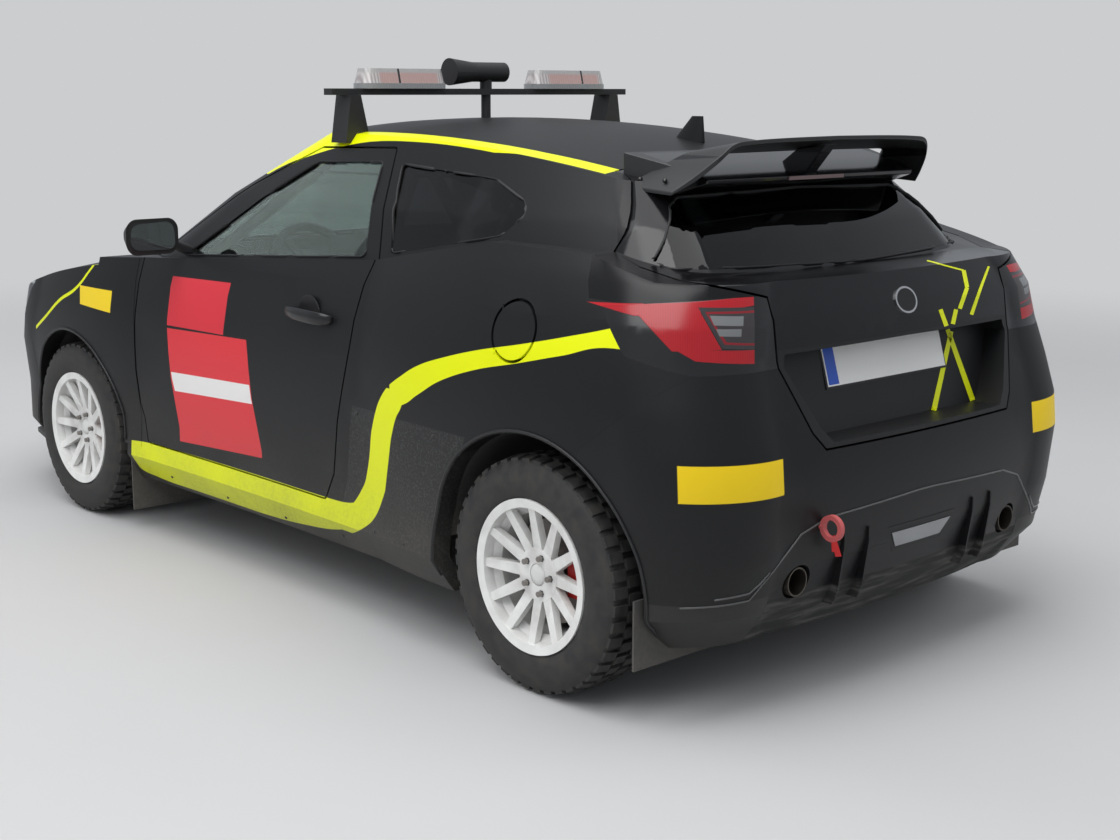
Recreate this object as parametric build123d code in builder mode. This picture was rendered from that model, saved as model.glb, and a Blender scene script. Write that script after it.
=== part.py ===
from build123d import *
import math
import os

# A three-door hatchback built for gravel rallies, as separate panels, glass, running gear and cabin.
# Frame: +X is the car's left, -Y its nose, +Z up. The origin is on the ground under the middle of the length.
# All sizes are in millimetres.

os.makedirs("parts", exist_ok=True)

# Overall sizes
overall_length = 4000
wheelbase = 2560
front_overhang = 830
nose_y = -overall_length / 2
tail_y = overall_length / 2
front_axle_y = nose_y + front_overhang
rear_axle_y = front_axle_y + wheelbase

# Wheels
tyre_radius = 320
tyre_width = 205
front_track = 1530
rear_track = 1570
flange_radius = 208
flange_thickness = 9
barrel_radius = 190
barrel_thickness = 8
barrel_width = 178
spoke_count = 12
spoke_face_x = 62
spoke_thickness = 24
hub_boss_radius = 76
lug_count = 5
lug_circle_radius = 50
lug_radius = 8
centre_bore_radius = 30
disc_radius = 140
disc_thickness = 26
disc_x = -2
bell_radius = 72
fit_gap = 0.3

# Panels
panel_gap = 6
wall_thickness = 60
pillar_thickness = 42
roof_thickness = 26
bonnet_thickness = 26
glass_inset = 5
glass_thickness = 5
seal_gap = 4
front_arch_radius = 368
rear_arch_radius = 382
arch_inner_x = 480
lip_width = 30
lip_depth = 46

# The lower body: half widths along the plan, then how each level draws them in
nose_edge_half = 560
nose_corner_half = 765
fender_front_half = 846
fender_half = 882
door_front_half = 862
door_half = 857
hip_front_half = 868
hip_half = 904
hip_rear_half = 874
tail_corner_half = 800
tail_edge_half = 560

# level name: height, tuck of the sides, setback of the nose, setback of the tail
body_levels = {
    "sill foot": (190, 66, 70, 120),
    "sill bulge": (285, 6, 20, 50),
    "door foot": (430, 16, 0, 10),
    "bumper": (600, 0, 0, 0),
    "shelf": (690, 0, 20, 10),
    "crease": (800, 4, 60, 45),
    "lamp": (910, 18, 110, 80),
    "belt": (1010, 44, 140, 92),
    "deck": (1100, 88, 150, 130),
    "shoulder": (1190, 150, 160, 250),
}

# The bonnet's crown is a barrel: an arc seen from the side, and a flatter one seen from the front
bonnet_front_y = -1900
bonnet_front_z = 775
cowl_y = -940
cowl_z = 1005
bonnet_side_radius = 4000
bonnet_crown_radius = 6500

# The waistline behind the cowl, seen from the side, as (y, z)
waistline = [(cowl_y, 975), (-500, 1003), (600, 1078), (1120, 1168), (1480, 1160), (1700, 1106), (1900, 1098), (2010, 980)]

# The roof's crown is a barrel too
roof_peak_y = 350
roof_peak_z = 1474
roof_side_radius = 5600
roof_crown_radius = 3400

# The cabin above the waist: half plans at three heights, as (x, y), three points to an arc
cabin_foot_z = 900
cabin_base_z = 1000
cabin_middle_z = 1220
cabin_roof_z = 1400
cabin_top_z = 1490
# point on the plan: base, middle, roof
cabin_plan = {
    "front middle": ((0, -950), (0, -545), (0, -130)),
    "front edge": ((640, -800), (550, -443), (470, -70)),
    "pillar": ((745, -700), (641, -368), (540, -15)),
    "pillar end": ((797, -560), (686, -240), (568, 90)),
    "side": ((818, 150), (712, 250), (592, 450)),
    "side end": ((806, 900), (692, 900), (566, 900)),
    "quarter": ((782, 1350), (672, 1245), (545, 1120)),
    "quarter end": ((728, 1612), (626, 1460), (512, 1285)),
    "tail corner": ((660, 1716), (576, 1542), (490, 1335)),
    "tail edge": ((530, 1776), (474, 1588), (430, 1365)),
    "tail middle": ((0, 1812), (0, 1620), (0, 1400)),
}


def mix(a, b, share):
    """The point a share of the way from a to b."""
    return tuple(p + (q - p) * share for p, q in zip(a, b))


def ring_sketch(half, z):
    """A closed outline at height z from half of it: a middle point, arcs of three points, and a middle point."""
    first, last = half[0], half[-1]
    side = half[1:-1]
    with BuildSketch(Plane.XY.offset(z)) as outline:
        with BuildLine():
            ThreePointArc((-side[0][0], side[0][1]), first, side[0])
            for start in range(0, len(side) - 2, 2):
                a, b, c = side[start : start + 3]
                ThreePointArc(a, b, c)
                ThreePointArc((-a[0], a[1]), (-b[0], b[1]), (-c[0], c[1]))
            ThreePointArc(side[-1], last, (-side[-1][0], side[-1][1]))
        make_face()
    return outline.sketch


def body_plan(level, inset):
    """Half of the lower body's plan at one level, drawn in by inset."""
    z, tuck, nose_setback, tail_setback = level
    nose = nose_y + nose_setback + inset
    tail = tail_y - tail_setback - inset
    t = tuck + inset
    return [
        (0, nose),
        (nose_edge_half - t, nose + 70),
        (nose_corner_half - t, nose + 225),
        (fender_front_half - t, nose + 470),
        (fender_half - t, front_axle_y),
        (door_front_half - t, -690),
        (door_half - t, 0),
        (hip_front_half - t, 640),
        (hip_half - t, 1260),
        (hip_rear_half - t, tail - 290),
        (tail_corner_half - t, tail - 115),
        (tail_edge_half - t, tail - 30),
        (0, tail),
    ]


def cabin_half(z, inset):
    """Half of the cabin's plan at height z, drawn in by inset."""
    points = []
    for base, middle, roof in cabin_plan.values():
        if z <= cabin_base_z:
            x, y = base
        elif z <= cabin_middle_z:
            x, y = mix(base, middle, (z - cabin_base_z) / (cabin_middle_z - cabin_base_z))
        else:
            x, y = mix(middle, roof, (z - cabin_middle_z) / (cabin_roof_z - cabin_middle_z))
        ahead = y < -600 * (cabin_roof_z - z) / (cabin_roof_z - cabin_base_z) + 50 if z < cabin_roof_z else y < 50
        points.append((x, y, ahead))
    half = []
    for i, (x, y, ahead) in enumerate(points):
        along = i / (len(points) - 1)
        side_share = math.sin(math.pi * along) ** 0.35
        end_share = math.cos(math.pi * along)
        end_share = math.copysign(abs(end_share) ** 0.6, end_share)
        half.append((x - inset * side_share if x else 0, y + inset * end_share))
    return half


def barrel(centre_y, top_z, side_radius, crown_radius):
    """A barrel lying across the car, which gives a panel its crown both ways."""
    reach = 1000
    drop = reach**2 / (2 * crown_radius)
    floor_z = top_z - side_radius
    with BuildPart() as solid:
        with BuildSketch(Plane.XZ.offset(-centre_y)):
            with BuildLine():
                ThreePointArc((-reach, top_z - drop), (0, top_z), (reach, top_z - drop))
                Polyline((reach, top_z - drop), (reach, floor_z), (-reach, floor_z), (-reach, top_z - drop))
            make_face()
        revolve(axis=Axis((0, centre_y, floor_z), (1, 0, 0)), revolution_arc=360)
    return solid.part


def slab(low, high):
    """A plain block between two opposite corners."""
    size = [abs(b - a) for a, b in zip(low, high)]
    middle = [(a + b) / 2 for a, b in zip(low, high)]
    with BuildPart(Plane.XY.move(Location(middle))) as block:
        Box(*size)
    return block.part


def side_prism(points, x_from, x_to, radius=0, grow=0):
    """An outline seen from the side, as (y, z), run across the car from x_from to x_to."""
    with BuildPart() as prism:
        with BuildSketch(Plane.YZ.offset(x_from)):
            with BuildLine():
                if radius:
                    FilletPolyline(*points, radius=radius, close=True)
                else:
                    Polyline(*points, close=True)
            make_face()
            if grow:
                offset(amount=grow, kind=Kind.INTERSECTION)
        extrude(amount=x_to - x_from)
    return prism.part


def plan_prism(points, z_from, z_to, radius=0, grow=0):
    """An outline seen from above, as (x, y), run upwards from z_from to z_to."""
    with BuildPart() as prism:
        with BuildSketch(Plane.XY.offset(z_from)):
            with BuildLine():
                if radius:
                    FilletPolyline(*points, radius=radius, close=True)
                else:
                    Polyline(*points, close=True)
            make_face()
            if grow:
                offset(amount=grow, kind=Kind.INTERSECTION)
        extrude(amount=z_to - z_from)
    return prism.part


def end_prism(points, y_from, y_to, radius=0, grow=0):
    """An outline seen from an end, as (x, z), run along the car from y_from to y_to."""
    with BuildPart() as prism:
        with BuildSketch(Plane.XZ.offset(-y_to)):
            with BuildLine():
                if radius:
                    FilletPolyline(*points, radius=radius, close=True)
                else:
                    Polyline(*points, close=True)
            make_face()
            if grow:
                offset(amount=grow, kind=Kind.INTERSECTION)
        extrude(amount=y_to - y_from)
    return prism.part


def both_sides(half):
    """A symmetric outline from its left half, which runs from one middle point to the other."""
    return half + [(-x, z) for x, z in reversed(half)]


def lower_body(inset, top_inset, foot_z=None):
    """The whole body below the waist, drawn in by inset at the sides and top_inset at the top."""
    levels = list(body_levels.values())
    if foot_z is not None:
        levels = [(foot_z, *levels[0][1:])] + levels
    chord_y = cowl_y - bonnet_front_y
    chord_z = cowl_z - bonnet_front_z
    chord = math.hypot(chord_y, chord_z)
    reach = math.sqrt(bonnet_side_radius**2 - (chord / 2) ** 2)
    crown_y = (cowl_y + bonnet_front_y) / 2 + reach * chord_z / chord
    crown_z = (cowl_z + bonnet_front_z) / 2 - reach * chord_y / chord + bonnet_side_radius
    top = [(y, z - top_inset) for y, z in waistline]
    with BuildPart() as front:
        loft([ring_sketch(body_plan(level, inset), level[0]) for level in levels], ruled=True)
        add(slab((-1000, nose_y - 10, 0), (1000, cowl_y, 1300)), mode=Mode.INTERSECT)
        crown = barrel(crown_y, crown_z - top_inset, bonnet_side_radius - top_inset, bonnet_crown_radius)
        add(crown, mode=Mode.INTERSECT)
    with BuildPart() as rear:
        loft([ring_sketch(body_plan(level, inset), level[0]) for level in levels], ruled=True)
        add(side_prism([(cowl_y, 0), *top, (tail_y + 20, 0)], -1000, 1000), mode=Mode.INTERSECT)
    with BuildPart() as body:
        add(front.part)
        add(rear.part)
    return body.part


def cabin(inset, top_inset, foot_z):
    """The cabin above the waist, drawn in by inset, under a crowned roof."""
    heights = [foot_z, cabin_base_z, cabin_middle_z, cabin_top_z]
    with BuildPart() as house:
        loft([ring_sketch(cabin_half(z, inset), z) for z in heights], ruled=True)
        crown = barrel(roof_peak_y, roof_peak_z - top_inset, roof_side_radius - top_inset, roof_crown_radius)
        add(crown, mode=Mode.INTERSECT)
    return house.part


with BuildPart() as outer_form:
    add(lower_body(0, 0))
    add(cabin(0, 0, cabin_base_z - 30))

with BuildPart() as inner_form:
    add(lower_body(wall_thickness, bonnet_thickness, 100))
    add(cabin(pillar_thickness, roof_thickness, cabin_foot_z))

with BuildPart() as shell:
    add(outer_form.part)
    add(inner_form.part, mode=Mode.SUBTRACT)


# Seen from the side, as (y, z)
door_outline = [(-655, 345), (-697, 480), (-697, 760), (-672, 1000), (-560, 1062), (-225, 1256), (70, 1383),
                (480, 1393), (620, 1082), (575, 800), (470, 430), (430, 345)]
door_window = [(-440, 1016), (-110, 1222), (100, 1340), (446, 1350), (552, 1084)]
quarter_window = [(545, 1348), (660, 1100), (1085, 1174), (1146, 1232), (1120, 1268), (960, 1322)]
nose_seam = [(-1650, 722), (-1560, 600), (-1500, 180)]
fender_rear_y = -702
fender_side = [(fender_rear_y, 324), (fender_rear_y, 985), (-990, 1000), (-1480, 900), (-1490, 862), *nose_seam, (-1300, 180), (-1300, 324)]
headlamp_side = [(-1480, 900), (-1490, 862), (-1650, 722), (-2100, 702), (-2100, 800), (-1800, 870)]
nose_side = [*nose_seam, (-2100, 180), (-2100, 702)]
grille_side = [(-2100, 702), nose_seam[0], (-1650, 800), (-2100, 800)]
front_flap_y = -784
frame_side = [(front_flap_y, 150), (front_flap_y, 324), (-700, 324), (-700, 985), (-990, 1000), (-990, 1150), (-200, 1600), (1400, 1600),
              (2100, 1250), (2100, 1064), (1830, 1072), (1590, 1046), (1690, 935), (1842, 893), (1583, 693), (1555, 600), (1555, 150)]
lamp_side = [(1590, 1046), (1690, 935), (1842, 893), (2100, 893), (2100, 1064), (1830, 1072)]
tail_side = [(1555, 150), (1555, 600), (1583, 693), (1842, 893), (2100, 893), (2100, 150)]

# Seen from an end, half outlines as (x, z)
windscreen_half = [(0, 1016), (668, 1026), (584, 1220), (500, 1372), (440, 1400), (0, 1420)]
tailgate_half = [(0, 686), (404, 686), (440, 730), (508, 893), (508, 1066), (655, 1102), (688, 1132), (570, 1277), (520, 1345), (500, 1460), (0, 1460)]
rear_window_half = [(0, 1108), (612, 1122), (628, 1142), (500, 1272), (460, 1290), (0, 1300)]
recess_half = [(0, 700), (372, 700), (408, 740), (490, 893), (480, 925), (0, 930)]

# Seen from above
bonnet_corner_y = -1885
bonnet_rear_y = -962
cowl_gap = 11
bonnet_half = [(0, bonnet_corner_y), (455, -1860), (560, -1760), (690, -1400), (712, bonnet_rear_y), (0, bonnet_rear_y)]
roof_front_y = -200
roof_rear_y = 1312
roof_half = [(0, roof_front_y), (400, roof_front_y), (488, -20), (515, 350), (505, 1000), (468, roof_rear_y), (0, roof_rear_y)]
seam = 0.3

# Floor, firewall and boot floor
floor_z = 205
floor_thickness = 18
boot_floor_z = 430
boot_front_y = 960
boot_rear_y = 1880
firewall_y = -880
arm_top_z = 330
crossmember_top = 240


def mirrored(half):
    """A closed symmetric outline from its left half."""
    return half + [(-x, v) for x, v in reversed(half) if x]


def cylinder_x(centre, radius, x_from, x_to):
    """A round bar lying across the car, its centre as (y, z)."""
    with BuildPart() as bar:
        with BuildSketch(Plane.YZ.offset(x_from)):
            with Locations(centre):
                Circle(radius)
        extrude(amount=x_to - x_from)
    return bar.part


def tube(start, end, radius):
    """A straight round tube between two points."""
    along = Vector(*end) - Vector(*start)
    with BuildPart() as bar:
        with BuildSketch(Plane(origin=start, z_dir=along)):
            Circle(radius)
        extrude(amount=along.length)
    return bar.part


def other_side(solid):
    """The same piece on the car's right."""
    with BuildPart() as copy:
        add(mirror(solid, about=Plane.YZ))
    return copy.part


def save(solid, name):
    """Label a piece and write it as its own file."""
    solid.label = name
    export_step(solid, f"parts/{name}.step")


with BuildPart() as left_shell:
    add(shell.part)
    add(slab((0, -2200, 0), (1000, 2200, 1600)), mode=Mode.INTERSECT)
    add(cylinder_x((front_axle_y, tyre_radius), front_arch_radius, arch_inner_x, 1000), mode=Mode.SUBTRACT)
    add(cylinder_x((rear_axle_y, tyre_radius), rear_arch_radius, arch_inner_x, 1000), mode=Mode.SUBTRACT)

# Hinges: a pin in the moving panel turns in the eye of a strap on the body
door_hinge = (844, -644)
door_hinge_heights = (560, 800)
door_pin_radius = 4
door_eye_radius = 7.5
strap_thickness = 12
pillar_x = 700
strap_room = 5
pin_gap = 0.3
tailgate_gap = 8
tailgate_hinge = (1330, 1381)
bonnet_hinge = (-985, 982)
lid_hinge_x = {"tailgate": 110, "bonnet": 250}
lid_pin_radius = 2.5
lid_eye_radius = 5


def eye_strap(profile, centre, eye_radius, pin_radius, x):
    """A strap seen from the side, ending in an eye round a pin that lies across the car."""
    with BuildPart() as strap:
        add(side_prism(profile, x - strap_thickness / 2, x + strap_thickness / 2))
        add(cylinder_x(centre, eye_radius, x - strap_thickness / 2, x + strap_thickness / 2))
        add(cylinder_x(centre, pin_radius + pin_gap, x - strap_thickness, x + strap_thickness), mode=Mode.SUBTRACT)
    return strap.part


# Doors, each as thick as the body's side
with BuildPart() as door_left:
    add(left_shell.part)
    add(side_prism(door_outline, 300, 1000, radius=18, grow=-panel_gap / 2), mode=Mode.INTERSECT)
    add(side_prism(door_window, 300, 1000, radius=14), mode=Mode.SUBTRACT)
    for z in door_hinge_heights:
        half = strap_thickness / 2 + strap_room
        add(slab((750, -720, z - half), (door_hinge[0] + door_eye_radius + 2, door_hinge[1] + door_eye_radius + 2, z + half)), mode=Mode.SUBTRACT)
        add(tube((*door_hinge, z - half - 8), (*door_hinge, z + half + 8), door_pin_radius))
save(door_left.part, "door_left")
with BuildPart() as door_right:
    add(other_side(door_left.part))
save(door_right.part, "door_right")

# Beside the rear window the gap round the tailgate is a cone about its hinge, so that its edges swing clear.
# Distance from the middle: radius
lid_sweep = {505: 42, 530: 86, 590: 181, 630: 231, 670: 272, 690: 356}
lid_clearance = 4
frame_clearance = 2


def lid_cone(change):
    """The left cone about the tailgate's hinge, its radius changed a little."""
    with BuildPart() as cone:
        for x, radius in lid_sweep.items():
            with BuildSketch(Plane.YZ.offset(x)):
                with Locations(tailgate_hinge):
                    Circle(radius + change)
        loft(ruled=True)
    return cone.part


with BuildPart() as tailgate_room:
    add(end_prism(mirrored(tailgate_half), roof_rear_y, 2100, grow=panel_gap / 2))
    add(lid_cone(-frame_clearance), mode=Mode.SUBTRACT)
    add(other_side(lid_cone(-frame_clearance)), mode=Mode.SUBTRACT)
tailgate_region = tailgate_room.part

# The filler's flap turns about a line that leans with the body's side
flap_centre = (1322, 959)
flap_radius = 74
flap_gap = 8
flap_floor_x = 836
flap_hinge = (869, 1264)
flap_lean = -0.2586
flap_pin_rise = (-64, 60)
pillar_top_z = 950
pillar_neck = 15.7


def flap_pin(radius, extra):
    """A round bar on the flap's hinge line, longer than the pin by extra at each end."""
    rises = (flap_pin_rise[0] - extra, flap_pin_rise[1] + extra)
    ends = [(flap_hinge[0] + rise * flap_lean, flap_hinge[1], flap_centre[1] + rise) for rise in rises]
    return tube(ends[0], ends[1], radius)


# The body sides: sill, pillars, cant rail and rear quarter in one
with BuildPart() as side_frame_left:
    add(left_shell.part)
    add(side_prism(frame_side, 0, 1000), mode=Mode.INTERSECT)
    add(side_prism(door_outline, 300, 1000, radius=18, grow=panel_gap / 2), mode=Mode.SUBTRACT)
    add(side_prism(quarter_window, 300, 1000, radius=14), mode=Mode.SUBTRACT)
    add(end_prism(mirrored(windscreen_half), -1100, 0), mode=Mode.SUBTRACT)
    add(plan_prism(mirrored(roof_half), 1250, 1600, grow=seam), mode=Mode.SUBTRACT)
    add(tailgate_region, mode=Mode.SUBTRACT)
    add(slab((-1000, -990, 900), (720, -802, 1040)), mode=Mode.SUBTRACT)
    add(slab((pillar_x, -768, floor_z + floor_thickness + seam), (pillar_x + 52, fender_rear_y - 1, pillar_top_z)))
    add(slab((pillar_x, -768, pillar_top_z), (pillar_x + pillar_neck, fender_rear_y - 1, 1000)))
    for z in door_hinge_heights:
        with BuildSketch(Plane.XY.offset(z - strap_thickness / 2)):
            with BuildLine():
                Polyline((740, -740), (752, -722), (788, -664), (door_hinge[0] - 3, door_hinge[1] - door_eye_radius + 0.5),
                         (door_hinge[0] - 3, door_hinge[1] + door_eye_radius - 0.5), (782, -650), (740, -712), close=True)
            make_face()
            with Locations(door_hinge):
                Circle(door_eye_radius)
                Circle(door_pin_radius + pin_gap, mode=Mode.SUBTRACT)
        extrude(amount=strap_thickness)
with BuildPart() as side_frame_right:
    add(other_side(side_frame_left.part))
save(side_frame_right.part, "side_frame_right")
with BuildPart() as side_frame_left_holed:
    add(side_frame_left.part)
    add(cylinder_x(flap_centre, flap_radius + flap_gap, flap_floor_x - 8, 1000), mode=Mode.SUBTRACT)
    add(flap_pin(lid_pin_radius + pin_gap, 2), mode=Mode.SUBTRACT)
save(side_frame_left_holed.part, "side_frame_left")

# Round flap over the filler
with BuildPart() as fuel_flap:
    add(outer_form.part)
    add(cylinder_x(flap_centre, flap_radius, flap_floor_x, 1000), mode=Mode.INTERSECT)
    add(flap_pin(lid_pin_radius, 0))
save(fuel_flap.part, "fuel_flap")

# Roof with the windscreen header and a fin aerial
fin_y = 1110
with BuildPart() as roof_panel:
    add(shell.part)
    add(plan_prism(mirrored(roof_half), 1250, 1600), mode=Mode.INTERSECT)
    add(end_prism(mirrored(windscreen_half), -1100, 0), mode=Mode.SUBTRACT)
    with BuildSketch(Plane.XY.offset(1415)):
        with Locations((0, fin_y)):
            Ellipse(20, 62)
    with BuildSketch(Plane.XY.offset(1490)):
        with Locations((0, fin_y + 34)):
            Ellipse(5, 22)
    loft()
    for side in (-1, 1):
        y, z = tailgate_hinge
        strap = [(y - 3, z + 3), (y - 4, z - 8), (y - 8, z - 26), (y - 50, z - 28), (y - 50, z - 6), (y - 34, z - 8), (y - 20, z - 19), (y - 13, z - 8)]
        add(eye_strap(strap, tailgate_hinge, lid_eye_radius, lid_pin_radius, side * lid_hinge_x["tailgate"]))
save(roof_panel.part, "roof_panel")

# Bonnet
with BuildPart() as bonnet:
    add(shell.part)
    add(plan_prism(mirrored(bonnet_half), 742, 1100, grow=-panel_gap / 2), mode=Mode.INTERSECT)
    y, z = bonnet_hinge
    for side in (-1, 1):
        x = side * lid_hinge_x["bonnet"]
        half = strap_thickness / 2 + strap_room
        add(slab((x - half, y - 11, 900), (x + half, bonnet_rear_y + 10, z + lid_eye_radius + 3)), mode=Mode.SUBTRACT)
        add(cylinder_x(bonnet_hinge, lid_pin_radius, x - half - 8, x + half + 8))
save(bonnet.part, "bonnet")

# Front wings, either side of the bonnet
with BuildPart() as fender:
    add(left_shell.part)
    add(side_prism(fender_side, 0, 1000, grow=-seam / 2), mode=Mode.INTERSECT)
    add(plan_prism(mirrored(bonnet_half), 600, 1100, grow=panel_gap / 2), mode=Mode.SUBTRACT)
    add(slab((-1000, -1000, 800), (716, -690, 1100)), mode=Mode.SUBTRACT)
with BuildPart() as front_fenders:
    add(fender.part)
    add(other_side(fender.part))
save(front_fenders.part, "front_fenders")

# Cowl between the bonnet and the windscreen
with BuildPart() as cowl:
    add(shell.part)
    add(slab((-700, bonnet_rear_y + cowl_gap, 900), (700, -700, 1015.5)), mode=Mode.INTERSECT)
    add(side_frame_left.part, mode=Mode.SUBTRACT)
    add(side_frame_right.part, mode=Mode.SUBTRACT)
save(cowl.part, "cowl")

# Nose: bumper round a lower intake, with a barred grille above it
intake_half = [(0, 300), (430, 300), (520, 380), (500, 560), (0, 590)]
lip_half = [(0, -2046), (500, -1995), (700, -1860), (735, -1720), (0, -1720)]
lip_z = 190
with BuildPart() as front_bumper:
    add(shell.part)
    add(side_prism(nose_side, -1000, 1000, grow=-seam / 2), mode=Mode.INTERSECT)
    add(cylinder_x((front_axle_y, tyre_radius), front_arch_radius, -1000, 1000), mode=Mode.SUBTRACT)
    add(end_prism(mirrored(intake_half), -2100, -1500), mode=Mode.SUBTRACT)
    add(plan_prism(mirrored(lip_half), lip_z - 14, lip_z + 4))
save(front_bumper.part, "front_bumper")

bar_pitch = 42
bar_height = 12
with BuildPart() as front_grille:
    add(shell.part)
    add(side_prism(grille_side, -470, 470, grow=-seam / 2), mode=Mode.INTERSECT)
    add(plan_prism(mirrored(bonnet_half), 600, 1100, grow=panel_gap / 2), mode=Mode.SUBTRACT)
    with BuildPart(mode=Mode.PRIVATE) as bars:
        for row in range(6):
            add(slab((-560, -2100, 318 + row * bar_pitch), (560, -1500, 318 + row * bar_pitch + bar_height)))
        for column in (-360, -180, 0, 180, 360):
            add(slab((column - 6, -2100, 290), (column + 6, -1500, 600)))
        add(shell.part, mode=Mode.INTERSECT)
        add(end_prism(mirrored(intake_half), -2100, -1500, grow=-seam), mode=Mode.INTERSECT)
    add(bars.part)
save(front_grille.part, "front_grille")

with BuildPart() as headlamp:
    add(left_shell.part)
    add(side_prism(headlamp_side, 470.3, 1000, grow=-seam / 2), mode=Mode.INTERSECT)
    add(plan_prism(mirrored(bonnet_half), 600, 1100, grow=panel_gap / 2), mode=Mode.SUBTRACT)
with BuildPart() as headlamps:
    add(headlamp.part)
    add(other_side(headlamp.part))
save(headlamps.part, "headlamps")

# Tailgate with the plate's recess
recess_side = [(1890, 690), (2100, 690), (2100, 940), (1822, 940)]
recess_back = [(1876, 680), (2100, 680), (2100, 945), (1808, 945)]
with BuildPart() as tailgate:
    add(shell.part)
    add(end_prism(mirrored(tailgate_half), roof_rear_y + tailgate_gap, 2100, grow=-panel_gap / 2), mode=Mode.INTERSECT)
    add(lid_cone(lid_clearance), mode=Mode.SUBTRACT)
    add(other_side(lid_cone(lid_clearance)), mode=Mode.SUBTRACT)
    with BuildPart(mode=Mode.PRIVATE) as backing:
        add(outer_form.part)
        add(side_prism(recess_back, -600, 600), mode=Mode.INTERSECT)
        add(end_prism(mirrored(recess_half), 1700, 2100, grow=10), mode=Mode.INTERSECT)
    add(backing.part)
    with BuildPart(mode=Mode.PRIVATE) as recess:
        add(end_prism(mirrored(recess_half), 1700, 2100))
        add(side_prism(recess_side, -600, 600), mode=Mode.INTERSECT)
    add(recess.part, mode=Mode.SUBTRACT)
    add(end_prism(mirrored(rear_window_half), 1300, 2100), mode=Mode.SUBTRACT)
    y, z = tailgate_hinge
    for side in (-1, 1):
        x = side * lid_hinge_x["tailgate"]
        half = strap_thickness / 2 + strap_room
        add(slab((x - half, roof_rear_y, 1300), (x + half, y + lid_eye_radius + 3, 1420)), mode=Mode.SUBTRACT)
        add(cylinder_x(tailgate_hinge, lid_pin_radius, x - half - 8, x + half + 8))
save(tailgate.part, "tailgate")

# Rear lamps round the corners
lamp_inner_x = 511.3
with BuildPart() as tail_lamp:
    add(left_shell.part)
    add(side_prism(lamp_side, lamp_inner_x, 1000, grow=-seam / 2), mode=Mode.INTERSECT)
    add(tailgate_region, mode=Mode.SUBTRACT)
with BuildPart() as tail_lamps:
    add(tail_lamp.part)
    add(other_side(tail_lamp.part))
save(tail_lamps.part, "tail_lamps")

# Rear bumper and the diffuser let into its foot
exhaust_x = 471
exhaust_z = 350
exhaust_radius = 38
exhaust_gap = 8
rear_flap_y = 1760
diffuser_half = [(0, 100), (575, 100), (560, 330), (400, 392), (0, 400)]
with BuildPart() as rear_bumper:
    add(shell.part)
    add(side_prism(tail_side, -1000, 1000, grow=-seam / 2), mode=Mode.INTERSECT)
    add(cylinder_x((rear_axle_y, tyre_radius), rear_arch_radius, -1000, 1000), mode=Mode.SUBTRACT)
    add(tailgate_region, mode=Mode.SUBTRACT)
    add(end_prism(mirrored(diffuser_half), 1500, 2100), mode=Mode.SUBTRACT)
    add(slab((-1000, 1500, 100), (1000, rear_flap_y + seam, 340)), mode=Mode.SUBTRACT)
    with Locations((-exhaust_x, 1900, exhaust_z), (exhaust_x, 1900, exhaust_z)):
        Cylinder(exhaust_radius + exhaust_gap, 400, rotation=(90, 0, 0), mode=Mode.SUBTRACT)
save(rear_bumper.part, "rear_bumper")

with BuildPart() as rear_diffuser:
    add(shell.part)
    add(end_prism(mirrored(diffuser_half), 1765, 2100, grow=-seam), mode=Mode.INTERSECT)
    with Locations((-exhaust_x, 1900, exhaust_z), (exhaust_x, 1900, exhaust_z)):
        Cylinder(exhaust_radius + exhaust_gap, 400, rotation=(90, 0, 0), mode=Mode.SUBTRACT)
save(rear_diffuser.part, "rear_diffuser")

# Glass, each pane let into its opening
with BuildPart() as glass_form:
    add(cabin(glass_inset, glass_inset, cabin_foot_z))
    add(cabin(glass_inset + glass_thickness, glass_inset + glass_thickness, cabin_foot_z - 10), mode=Mode.SUBTRACT)

with BuildPart() as windscreen:
    add(glass_form.part)
    add(end_prism(mirrored(windscreen_half), -1100, 0, grow=-seam), mode=Mode.INTERSECT)
save(windscreen.part, "windscreen")

with BuildPart() as rear_window:
    add(glass_form.part)
    add(end_prism(mirrored(rear_window_half), 1300, 2100, grow=-seam), mode=Mode.INTERSECT)
save(rear_window.part, "rear_window")

with BuildPart() as door_glass_left:
    add(glass_form.part)
    add(side_prism(door_window, 300, 1000, radius=14, grow=-seam), mode=Mode.INTERSECT)
save(door_glass_left.part, "door_glass_left")
with BuildPart() as door_glass_right:
    add(other_side(door_glass_left.part))
save(door_glass_right.part, "door_glass_right")

with BuildPart() as quarter_glass:
    add(glass_form.part)
    add(side_prism(quarter_window, 300, 1000, radius=14, grow=-seam), mode=Mode.INTERSECT)
with BuildPart() as quarter_windows:
    add(quarter_glass.part)
    add(other_side(quarter_glass.part))
save(quarter_windows.part, "quarter_windows")

# Door mirrors on their feet
mirror_middle = (935, -440, 1088)
with BuildPart() as mirror_left:
    with BuildSketch(Plane.XZ.offset(480)) as mirror_nose:
        with Locations((mirror_middle[0], mirror_middle[2])):
            RectangleRounded(130, 70, 30)
    with BuildSketch(Plane.XZ.offset(400)) as mirror_face:
        with Locations((mirror_middle[0] + 4, mirror_middle[2])):
            RectangleRounded(190, 118, 40)
    loft()
    with BuildSketch(Plane.YZ.offset(780)):
        with Locations((-440, 1030)):
            RectangleRounded(64, 34, 12)
    with BuildSketch(Plane.YZ.offset(880)):
        with Locations((-436, 1070)):
            RectangleRounded(46, 26, 10)
    loft()
    add(door_left.part, mode=Mode.SUBTRACT)
    add(door_glass_left.part, mode=Mode.SUBTRACT)
save(mirror_left.part.solids().sort_by(SortBy.VOLUME)[-1], "mirror_left")
with BuildPart() as mirror_right:
    add(other_side(mirror_left.part.solids().sort_by(SortBy.VOLUME)[-1]))
save(mirror_right.part, "mirror_right")

# Floor, firewall, boot floor and bulkhead, each fitted to the inside of the body


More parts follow.
